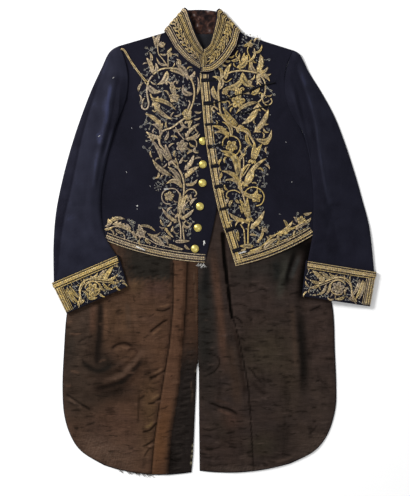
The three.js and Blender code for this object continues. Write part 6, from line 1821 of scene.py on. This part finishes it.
def front_work(face, seed, tone, which, share):
    leaves = share["leaves"]
    gold, silver = Work(face, seed, tone), Work(face, seed + 1, lambda p: 0.5)
    k = 2.33
    for pts, w in share["stems"]:
        gold.line(catmull([G(*q) for q in pts], 9), w * k, 1.5)
    for a, b, w, bend, teeth in leaves:
        if teeth:
            gold.acanthus(G(*a), G(*b), w * k * (1.95 if which == "right" else 1.7), -bend * 1.5, min(5, teeth), 2.0)
        else:
            gold.leaf(G(*a), G(*b), w * k * (1.42 if which == "right" else 1.36), -bend * 1.5, 0, 1.9)
    for c, r, n, turn, shift in share["flowers"]:
        gold.flower(G(*c), r * k, n, turn, gold.pick(G(*c), shift))
    for a, b, w in share["calyx"]:
        gold.calyx(G(*a), G(*b), w * k, gold.pick(G(*a), 0.2))
    for c, r, turn in share["horns"]:
        gold.horns(G(*c), r * k, turn)

    def room(r, n):
        q = np.stack([r.uniform(136, 274, n), r.uniform(34, 242, n)], 1)
        ok = (q[:, 0] > np.interp(q[:, 1], *share["lo"])) & (q[:, 0] < np.interp(q[:, 1], *share["hi"]))
        q = q[ok]
        return np.stack([LX(q[:, 0]), LY(q[:, 1])], 1)

    rows = np.concatenate([hem_line(which, v) for v in np.linspace(25, 47, 9)])
    if which == "right":
        rows = rows[(rows[:, 0] > LX(105)) & (rows[:, 0] < LX(164))]
    else:
        rows = rows[(rows[:, 0] > LX(250)) & (rows[:, 0] < LX(309))]

    def hem_room(r, n):
        return rows[r.integers(0, len(rows), n // 3)] + r.uniform(-2, 2, (n // 3, 2))

    coils = gold.sprig(room, 5.6, seed + 3) + gold.sprig(hem_room, 4.6, seed + 4)
    for n_, (a, b) in enumerate(coils):
        if np.hypot(*(np.array(a) - np.array(b))) > 5:
            silver.curl(a, b, 0.9, 2.4, None, 1 if n_ % 2 else -1)
    for n_, (a, b) in enumerate(share["curls"]):
        silver.curl(G(*a), G(*b), 0.9, 3.5, None, 1 if n_ % 2 else -1)
    for c, r in share["bunch"]:
        for j in range(9):
            a = j / 9 * math.tau
            p = G(c[0] + r * math.cos(a) * 0.8, c[1] + r * math.sin(a))
            silver.dome(p, 1.15, 0.9)
            if j % 2 == 0:
                silver.line(np.array([G(*c), p]), 0.8, 0.6)
    # coils and loose spangles between the leaves
    r = np.random.default_rng(seed + 5)
    have = np.concatenate(gold.V + silver.V)
    for lim, kind in ((4.6, 2), (3.5, 1), (2.1, 0)):
        for p in np.concatenate([room(r, 900 if kind else 1600), hem_room(r, 600)]):
            if np.hypot(*(have - p).T).min() > lim:
                if kind:
                    silver.ring(p, 2.5 if kind == 2 else 1.7, 0.85)
                    if kind == 2:
                        silver.dome(p, 0.9, 0.9, None, 6)
                else:
                    silver.dome(p, float(r.uniform(0.8, 1.3)), 0.8, None, 6)
                have = np.vstack([have, p])
    gold.build(f"gold_front_{which}", M_GOLD, "gold_thread")
    silver.build(f"silver_front_{which}", M_SILVER, "silver_thread")


# Hems: a braid along the edge, then a running branch of leaves and flowers.
def hem_line(side, inset):
    t = sample(FORE[side], np.array([0.0]))
    a = np.array([t["sideX"][0] + OUT[side] * t["lap"][0], t["sideY"][0]])
    b = np.array([t["frontX"][0], t["frontY"][0]])
    u = np.linspace(0, 1, 60)
    d = b - a
    L = np.hypot(*d)
    m = np.array([-d[1], d[0]]) / L
    w = 4 * u * (1 - u) * (-OUT[side] * FORE_HEM_BOW[side])
    P = a + d * u[:, None] + m * w[:, None]
    g = np.gradient(P, axis=0)
    g /= np.linalg.norm(g, axis=1, keepdims=True)
    nrm = np.stack([-g[:, 1], g[:, 0]], 1)
    nrm *= np.sign(nrm[:, 1:2])
    return P + nrm * inset


front_work(Plan("left"), 21, tone_left, "left", LEFT_SHARE)
front_work(Plan("right"), 31, tone_right, "right", RIGHT_SHARE)


def hems(side, tone):
    g = Work(Plan(side), 61 if side == "right" else 62, tone)
    line = hem_line(side, 10.6)
    g.braid(line, 19.6, None, 0.46 if side == "right" else 0.36)
    if side == "left":
        g.line(hem_line(side, 23.4)[3:], 1.4, 0.9)
    g.build(f"gold_hem_{side}", M_GOLD, "gold_thread")


hems("right", lambda p: 0.10 + 0.22 * math.exp(-((p[0] + 140) / 40) ** 2))
hems("left", lambda p: 0.62 + 0.1 * math.exp(-((p[0] - 130) / 30) ** 2))


# The left front's edge: braid between worked buttonholes.
def front_edge():
    face = Plan("left")
    ys = np.linspace(LEFT_FRONT[0][0] + 1, 393, 160)
    xs = np.interp(ys, *LEFT_FRONT)
    edge = np.stack([xs, ys], 1)
    d = np.gradient(edge, axis=0)
    d /= np.linalg.norm(d, axis=1, keepdims=True)
    m = np.stack([d[:, 1], -d[:, 0]], 1)
    g = Work(face, 71, lambda p: 0.44 + 0.34 * float(1 - smooth(0, 220, p[1])))
    b = Work(face, 72)
    holes = [float(LY(y)) for y in (81, 104, 125, 147, 166.5, 188, 210, 231, 252.5)]
    stops = [ys[-1]] + holes + [ys[0]]
    for k in range(len(stops) - 1):
        hi, lo = stops[k] - (2.5 if k else 0), stops[k + 1] + (2.5 if k < len(stops) - 2 else 0)
        pick = (ys < hi) & (ys > lo)
        if pick.sum() > 2:
            g.braid(edge[pick] + m[pick] * 12.6, 17.4, None, 0.50, True, False, 4.4, 1, True)
    g.line(edge + m * 2.2, 2.6, 1.4, 0.6)
    for y in holes:
        x = float(np.interp(y, *LEFT_FRONT))
        k = int(np.argmin(abs(ys - y)))
        mm_, dd = m[k], d[k]
        p = np.array([x, y])
        b.line(np.array([p + mm_ * 1.0, p + mm_ * 24.0]), 3.4, 1.7)
        for q in (-1, 1):
            b.line(np.array([p + mm_ * 20 + dd * q * 1.5, p + mm_ * 40 + dd * q * 1.5]), 1.9, 1.3)
        b.line(np.array([p + mm_ * 40 - dd * 2.4, p + mm_ * 40 + dd * 2.4]), 2.0, 1.3)
    for pts in ([(208, 103.8), (214, 103), (221, 101), (228, 98.2), (234, 95.6), (241, 94.2), (250, 90), (257, 87), (266, 84.4), (276, 82.2)],
                [(238, 113.6), (246, 112.4), (256, 108.6), (262, 107.4), (270, 104.8)]):
        b.line(catmull([G(*q) for q in pts], 8), 3.2, 3.6)
    g.build("gold_front_edge", M_GOLD, "gold_thread")
    b.build("worked_buttonholes", M_THREAD, "black_thread")


front_edge()


# Cuffs
def cuff_work(side, tone):
    f = CUFFS[side]
    W, D = f.width, f.depth
    g, s = Work(f, 81 if side == "right" else 82, tone), Work(f, 83, lambda p: 0.5)
    g.braid(np.array([[-3.0, 9.2], [W - 4.0, 9.2]]), 17.0, None, 0.50, True, True, 4.2, 1, True)
    g.braid(np.array([[8.8, 17.0], [8.8, D - 2.0]]), 16.5, None, 0.62)
    g.line(np.array([[20.0, 19.0], [20.0, D - 3]]), 1.7, 1.2)
    k = 1.0
    g.leaf((28, 22), (40, D - 8), 9.2, 0.06, 0, 1.7)
    g.leaf((24, 26), (30, D - 12), 7.1, 0.04, 0, 1.6)
    g.leaf((36, 22), (52, D - 14), 8.5, 0.10, 0, 1.7)
    stem = catmull([(34, D - 6), (48, D - 22), (54, 40), (66, 28), (86, 26), (104, 34), (118, 42), (134, 50)], 9)
    g.line(stem, 4.4, 1.6)
    g.line(stem + np.array([0, 5.5]), 2.0, 1.2)
    g.leaf((60, 33), (74, 19), 7.1, 0.2, 0, 1.6)
    g.leaf((82, 26), (110, 20), 8.5, 0.16, 0, 1.7)
    g.leaf((96, 30), (124, 27), 9.2, 0.12, 4, 1.8)
    g.leaf((104, 36), (134, 22), 9.9, -0.1, 4, 1.9)
    g.acanthus((116, 45), (150, 21), 19.0, -0.05, 5, 2.1)
    g.leaf((124, 46), (154, 42), 9.9, 0.1, 4, 1.8)
    g.leaf((128, 50), (152, 60), 9.9, 0.12, 4, 1.8)
    g.leaf((112, 46), (132, D - 8), 9.9, 0.18, 5, 1.8)
    g.leaf((104, 42), (112, D - 10), 8.5, 0.12, 4, 1.8)
    g.leaf((92, 34), (90, 20), 5.7, 0.2, 0, 1.5)
    ring = [(84 + 19 * math.cos(a), 50 + 17 * math.sin(a)) for a in np.linspace(-2.6, 2.2, 26)]
    g.line(np.array(ring), 3.4, 1.5)
    g.flower((84, 52), 16.5, 6, 0.4, 1.0 if side == "right" else 0.12, 0.3, 2.4)
    g.leaf((60, 44), (64, 66), 8.5, -0.2, 3, 1.7)
    g.leaf((64, D - 14), (88, D - 5), 7.8, 0.1, 0, 1.7)
    g.leaf((56, D - 12), (42, D - 5), 7.1, 0.1, 0, 1.6)
    for a, b in (((68, 40), (74, 36)), ((98, 56), (104, 62)), ((120, 30), (126, 34)), ((140, 62), (146, 70)), ((44, 26), (50, 32))):
        s.curl(a, b, 0.9, 1.9)

    def room(r, n):
        return np.stack([r.uniform(26, W - 7, n), r.uniform(21, D - 5, n)], 1)
    for a, b in g.sprig(room, 3.7, 85):
        s.curl(a, b, 0.9, 1.4)
    r = np.random.default_rng(84)
    for _ in range(120):
        s.dome((r.uniform(24, W - 6), r.uniform(20, D - 6)), float(r.uniform(0.8, 1.2)), 0.7, None, 7)
    g.build(f"gold_cuff_{side}", M_GOLD, "gold_thread")
    s.build(f"silver_cuff_{side}", M_SILVER, "silver_thread")


cuff_work("right", lambda p: 0.84)
cuff_work("left", lambda p: 0.46)


# Collar: a is in millimetres round the collar, b is a share of its height scaled to sixty.
class CollarSheet:
    def at(self, ab, h):
        q = np.array(ab, float)
        q[:, 1] = q[:, 1] / 60.0
        P, n = COLLAR.at(q, h)
        P[:, 2] = np.maximum(P[:, 2], 0.04)   # pressed flat where the back of the collar lies on the surface
        return P, n


def collar_work():
    f = CollarSheet()
    L = COLLAR.length

    def tone(p):
        return (0.30 if p[0] < L * 0.4 else 0.74) + (0.28 if 20 < p[1] < 50 else -0.06)
    g = Work(f, 91, tone)
    g.line(np.array([[1.5, 1.4], [L - 1.5, 1.4]]), 1.5, 1.2, 0.1)
    g.braid(np.array([[3, 7.4], [L - 3, 7.4]]), 8.0, None, 1.0, False, False, 4.0)
    g.line(np.array([[9, 14.4], [L - 9, 14.4]]), 1.5, 1.2, 0.1)
    g.line(np.array([[14, 36.6], [L - 14, 36.6]]), 1.4, 1.2)
    g.braid(np.array([[10, 42.2], [L - 10, 42.2]]), 5.4, 0.85, 1.0, False, False, 3.4)
    g.line(np.array([[6, 47.6], [L - 6, 47.6]]), 1.3, 1.0)
    g.braid(np.array([[3, 54.0], [L - 3, 54.0]]), 6.4, None, 1.0, False, False, 3.6)
    for a, q in ((4.4, 1), (L - 4.4, -1)):
        g.braid(np.array([[a, 13], [a, 50]]), 5.0, None, 1.0, False, False, 3.6)
        g.line(np.array([[a + q * 5.2, 15], [a + q * 5.2, 46]]), 1.4, 1.2)
        g.line(np.array([[a + q * 8.6, 18], [a + q * 8.6, 36]]), 1.3, 1.2)
    k, a, f = 0, 15.0, 1
    while a < L - 20:
        g.leaf((a, 25.6), (a + 8.6, 25.6 + f * 7.6), 5.2, f * 0.22, 0, 1.6)
        g.leaf((a + 2, 25.6 - f * 1), (a + 9.6, 25.6 - f * 6.8), 4.2, -f * 0.2, 0, 1.5)
        g.leaf((a + 4, 25.6 + f * 1.6), (a + 12.2, 25.6 + f * 2.8), 3.4, 0.1, 0, 1.5)
        if k % 4 == 1:
            g.flower((a + 1.5, 25.6 - f * 4.6), 3.8, 5, k)
        k, a, f = k + 1, a + 9.4, -f
    g.line(np.array([[x, 25.6 + 1.6 * math.sin(x / 18 * math.tau)] for x in np.arange(13, L - 13, 2.5)]), 1.5, 1.2)
    g.build("gold_collar", M_GOLD, "gold_thread")


collar_work()


# ------------------------------------------------------------------ shoulder cord
def shoulder_cord():
    route = catmull(np.stack([CORD_ROUTE["x"], CORD_ROUTE["y"]], 1), 12)
    route = resample(route, 1.4)
    z = fore_top("right", route[:, 0], route[:, 1]) + CORD_D / 2 + 0.1
    path = np.column_stack([route, z])
    run = np.concatenate([[0], np.cumsum(np.linalg.norm(np.diff(path, axis=0), axis=1))])
    d = np.gradient(path, axis=0)
    d /= np.linalg.norm(d, axis=1, keepdims=True)
    side = np.stack([-d[:, 1], d[:, 0], 0 * d[:, 0]], 1)
    up = np.cross(d, side)
    up *= np.sign(up[:, 2:3])
    V, F, UV, T, D = [], [], [], [], []
    q = CORD_D / 4
    for ply in (0, 1):
        a = 0.35 * np.sin(run / 21.0) + ply * math.pi
        spread = np.interp(run, [0, run[-1] * 0.5, run[-1] - 14, run[-1]], [1.3, 1.4, 1.5, 1.7])
        c = path + side * (q * np.cos(a) * spread)[:, None] + up * (q * np.sin(a) * 0.9)[:, None]
        for k in range(len(c)):
            for j in range(8):
                th = j / 8 * math.tau
                V.append(c[k] + side[k] * q * math.cos(th) * 0.98 + up[k] * q * math.sin(th) * 0.98)
                UV.append((j * 0.8, run[k]))
                T.append(0.62)
                D.append(0.0)
        base = ply * len(c) * 8
        for k in range(len(c) - 1):
            for j in range(8):
                F.append((base + k * 8 + j, base + k * 8 + (j + 1) % 8, base + (k + 1) * 8 + (j + 1) % 8, base + (k + 1) * 8 + j))
        F.append(tuple(base + j for j in range(8))[::-1])
        F.append(tuple(base + (len(c) - 1) * 8 + j for j in range(8)))
    V = np.array(V)
    ob = new_mesh("gold_shoulder_cord", V, F, M_GOLD, np.array(UV), {"tone": T, "dark": D})
    keep(ob, "gold_thread", "shoulder_cord")
    # the loop it ends in
    c0, dirn = path[-1], d[-1]
    loop = []
    for a in np.linspace(-0.9 * math.pi, 0.9 * math.pi, 34):
        loop.append(c0 + dirn * (4.6 + 5.0 * math.cos(a)) + side[-1] * 2.9 * math.sin(a) + np.array([0, 0, -0.6]))
    loop = np.array(loop)
    V, F, UV = [], [], []
    dl = np.gradient(loop, axis=0)
    dl /= np.linalg.norm(dl, axis=1, keepdims=True)
    for k in range(len(loop)):
        sd = np.array([-dl[k, 1], dl[k, 0], 0])
        sd /= np.linalg.norm(sd)
        for j in range(8):
            th = j / 8 * math.tau
            V.append(loop[k] + sd * 1.0 * math.cos(th) + np.array([0, 0, 1.0]) * math.sin(th))
            UV.append((j * 0.8, k * 0.9))
    for k in range(len(loop) - 1):
        for j in range(8):
            F.append((k * 8 + j, k * 8 + (j + 1) % 8, (k + 1) * 8 + (j + 1) % 8, (k + 1) * 8 + j))
    F.append(tuple(range(8))[::-1])
    F.append(tuple((len(loop) - 1) * 8 + j for j in range(8)))
    eye = new_mesh("cord_loop", V, F, M_GOLD, np.array(UV), {"tone": [0.75] * len(V), "dark": [0.0] * len(V)})
    keep(eye, "gold_thread")


shoulder_cord()


# ------------------------------------------------------------------ lint, loose threads and frayed edges
def bits():
    V, F = [], []

    def fibre(pts, r):
        pts = np.array(pts, float)
        base = len(V)
        d = np.gradient(pts, axis=0)
        d /= np.maximum(np.linalg.norm(d, axis=1, keepdims=True), 1e-9)
        for k in range(len(pts)):
            sd = np.array([-d[k, 1], d[k, 0], 0.0])
            sd /= max(np.linalg.norm(sd), 1e-9)
            for j in range(4):
                th = j / 4 * math.tau
                V.append(pts[k] + sd * r * math.cos(th) + np.array([0, 0, r]) * math.sin(th))
        for k in range(len(pts) - 1):
            for j in range(4):
                F.append((base + k * 4 + j, base + k * 4 + (j + 1) % 4, base + (k + 1) * 4 + (j + 1) % 4, base + (k + 1) * 4 + j))
        F.append((base + 3, base + 2, base + 1, base))
        e = base + (len(pts) - 1) * 4
        F.append((e, e + 1, e + 2, e + 3))
    r = np.random.default_rng(101)
    spots = [(137, 209), (150, 186), (126.5, 172), (286, 142), (292, 182), (131.5, 128), (121, 224), (280, 214), (137.2, 205.8), (134, 68)]
    for k, (x, y) in enumerate(spots):
        cx, cy = G(x, y)
        side = "right" if x < 200 else "left"
        big = 1.0 if k in (8,) else 0.45
        for _ in range(3 if k == 8 else 1):
            a = r.uniform(0, math.tau)
            L = r.uniform(2.0, 5.0) * (1.2 if k == 8 else 0.9)
            p = [[cx + math.cos(a + 0.5 * t) * L * (t - 0.5), cy + math.sin(a + 0.5 * t) * L * (t - 0.5), 0] for t in np.linspace(0, 1, 5)]
            p = np.array(p)
            p[:, 2] = fore_top(side, p[:, 0], p[:, 1]) + 0.35
            fibre(p, 0.3 * (0.6 + big))
    for x, y, z in ((113.6, 78.4, 20.5), (99.4, 136.4, 17.5)):
        cx, cy = G(x, y)
        fibre([[cx - 2.2, cy - 1.2, z], [cx, cy + 0.4, z + 0.4], [cx + 2.0, cy + 1.8, z]], 0.45)
    # threads at the corner of the right front, and a white tack on its edge
    for k in range(16):
        x, y = r.uniform(198, 204.5), r.uniform(262.5, 265.5)
        cx, cy = G(x, y)
        a = r.uniform(-2.2, -0.6)
        L = r.uniform(4, 10)
        t = np.linspace(0, 1, 6)
        p = np.stack([cx + np.cos(a + 0.9 * t * r.uniform(-1, 1)) * L * t, cy + np.sin(a) * L * t, np.full(6, 6.3) - 1.6 * t], 1)
        fibre(p, 0.28)
    for k in range(7):
        cx, cy = G(204.2 + r.uniform(-0.6, 0.6), 242.6 + r.uniform(-1.6, 1.6))
        a = math.pi / 2 + r.uniform(-0.16, 0.16) + (0.8 if k == 0 else 0)
        t = np.linspace(-0.5, 0.5, 4)
        p = np.stack([cx + np.cos(a) * 8 * t, cy + np.sin(a) * 8 * t, np.full(4, 0.0)], 1)
        p[:, 2] = fore_top("right", p[:, 0], p[:, 1]) + 0.6
        fibre(p, 0.5)
    for side, (x0, y0), (x1, y1), n in (("right", (135.6, 246.2), (144.6, 250.0), 26), ("left", (238.0, 253.6), (246.0, 251.4), 16), ("right", (163.6, 189.6), (169.6, 188.4), 12)):
        for k in range(n):
            t0 = r.uniform(0, 0.8)
            ax, ay = G(x0 + (x1 - x0) * t0, y0 + (y1 - y0) * t0 + r.uniform(-0.7, 0.7))
            bx, by = G(x0 + (x1 - x0) * (t0 + 0.3), y0 + (y1 - y0) * (t0 + 0.3) + r.uniform(-0.8, 0.8))
            t = np.linspace(0, 1, 4)
            p = np.stack([ax + (bx - ax) * t, ay + (by - ay) * t, 0 * t], 1)
            p[:, 2] = fore_top(side, p[:, 0], p[:, 1]) + 2.2
            fibre(p, 0.34)
    ob = new_mesh("lint_and_threads", V, F, M_LINT, np.array(V)[:, :2])
    keep(ob, "silver_thread")
    V.clear(), F.clear()
    # frayed silk along the right tail's hem
    for k in range(120):
        x = r.uniform(112, 160)
        u = float(np.interp(LX(x), [-255.7, -51.8], [0, 1]))
        y = -523.6 + (-539.9 + 523.6) * u - 13 * 4 * u * (1 - u) + 1.5
        a = -math.pi / 2 + r.uniform(-0.8, 0.8)
        L = r.uniform(2, 8) * (1.3 if 118 < x < 152 else 0.5)
        t = np.linspace(0, 1, 5)
        p = np.stack([float(LX(x)) + np.cos(a + 0.8 * t) * L * t, y + np.sin(a) * L * t, 3.0 - 2.4 * t], 1)
        fibre(p, 0.22)
    ob = new_mesh("frayed_silk", V, F, M_SILK, np.array(V)[:, :2], {"tint_and_painted_light": np.tile([[0.06, 0.042, 0.032]], (len(V), 1))})
    keep(ob, "silk_lining")


bits()


# ------------------------------------------------------------------ stage, light and camera
def stage():
    n = Nodes("paper_floor")
    c = n.mix(n.noise(n.where(), 3.0, 2), (0.93, 0.93, 0.93), (0.96, 0.96, 0.96))
    n.finish(c, 0.95, None, Specular_IOR_Level=0.0)
    me = bpy.data.meshes.new("floor")
    e = 12.0
    me.from_pydata([(-e, -e, 0), (e, -e, 0), (e, e, 0), (-e, e, 0)], [], [(0, 1, 2, 3)])
    ob = bpy.data.objects.new("floor", me)
    bpy.context.scene.collection.objects.link(ob)
    me.materials.append(n.m)
    ob.location.z = -0.0002


stage()


def area_light(name, loc, target, size, power, colour=(1, 1, 1)):
    li = bpy.data.lights.new(name, "AREA")
    li.shape, li.size, li.energy, li.color = "DISK", size, power, colour
    ob = bpy.data.objects.new(name, li)
    ob.location = loc
    ob.rotation_euler = (Vector(target) - Vector(loc)).to_track_quat("-Z", "Y").to_euler()
    bpy.context.scene.collection.objects.link(ob)
    return ob


area_light("key", (-2.0, 1.5, 1.9), (0, 0, 0), 1.0, 112)
area_light("fill", (1.6, -1.4, 2.6), (0, 0, 0), 2.2, 16)
world = bpy.data.worlds.new("studio")
world.use_nodes = True
world.node_tree.nodes["Background"].inputs[0].default_value = (1.0, 1.0, 1.0, 1)
world.node_tree.nodes["Background"].inputs[1].default_value = 0.50
bpy.context.scene.world = world
bpy.context.scene.view_settings.view_transform = "Standard"
bpy.context.scene.view_settings.look = "None"

cam = bpy.data.cameras.new("camera")
cam.lens, cam.sensor_width, cam.sensor_fit = 100.0, 36.0, "AUTO"
co = bpy.data.objects.new("camera", cam)
co.location = (-0.0204, -0.0156, 3.222)
co.rotation_euler = (0, 0, 0)
bpy.context.scene.collection.objects.link(co)
bpy.context.scene.camera = co
cam.dof.use_dof = False

bpy.context.view_layer.update()
tris = sum(sum(len(p.vertices) - 2 for p in o.data.polygons) for o in PIECES)
print("added triangles", tris, {o.name: sum(len(p.vertices) - 2 for p in o.data.polygons) for o in PIECES if len(o.data.polygons) > 30000})
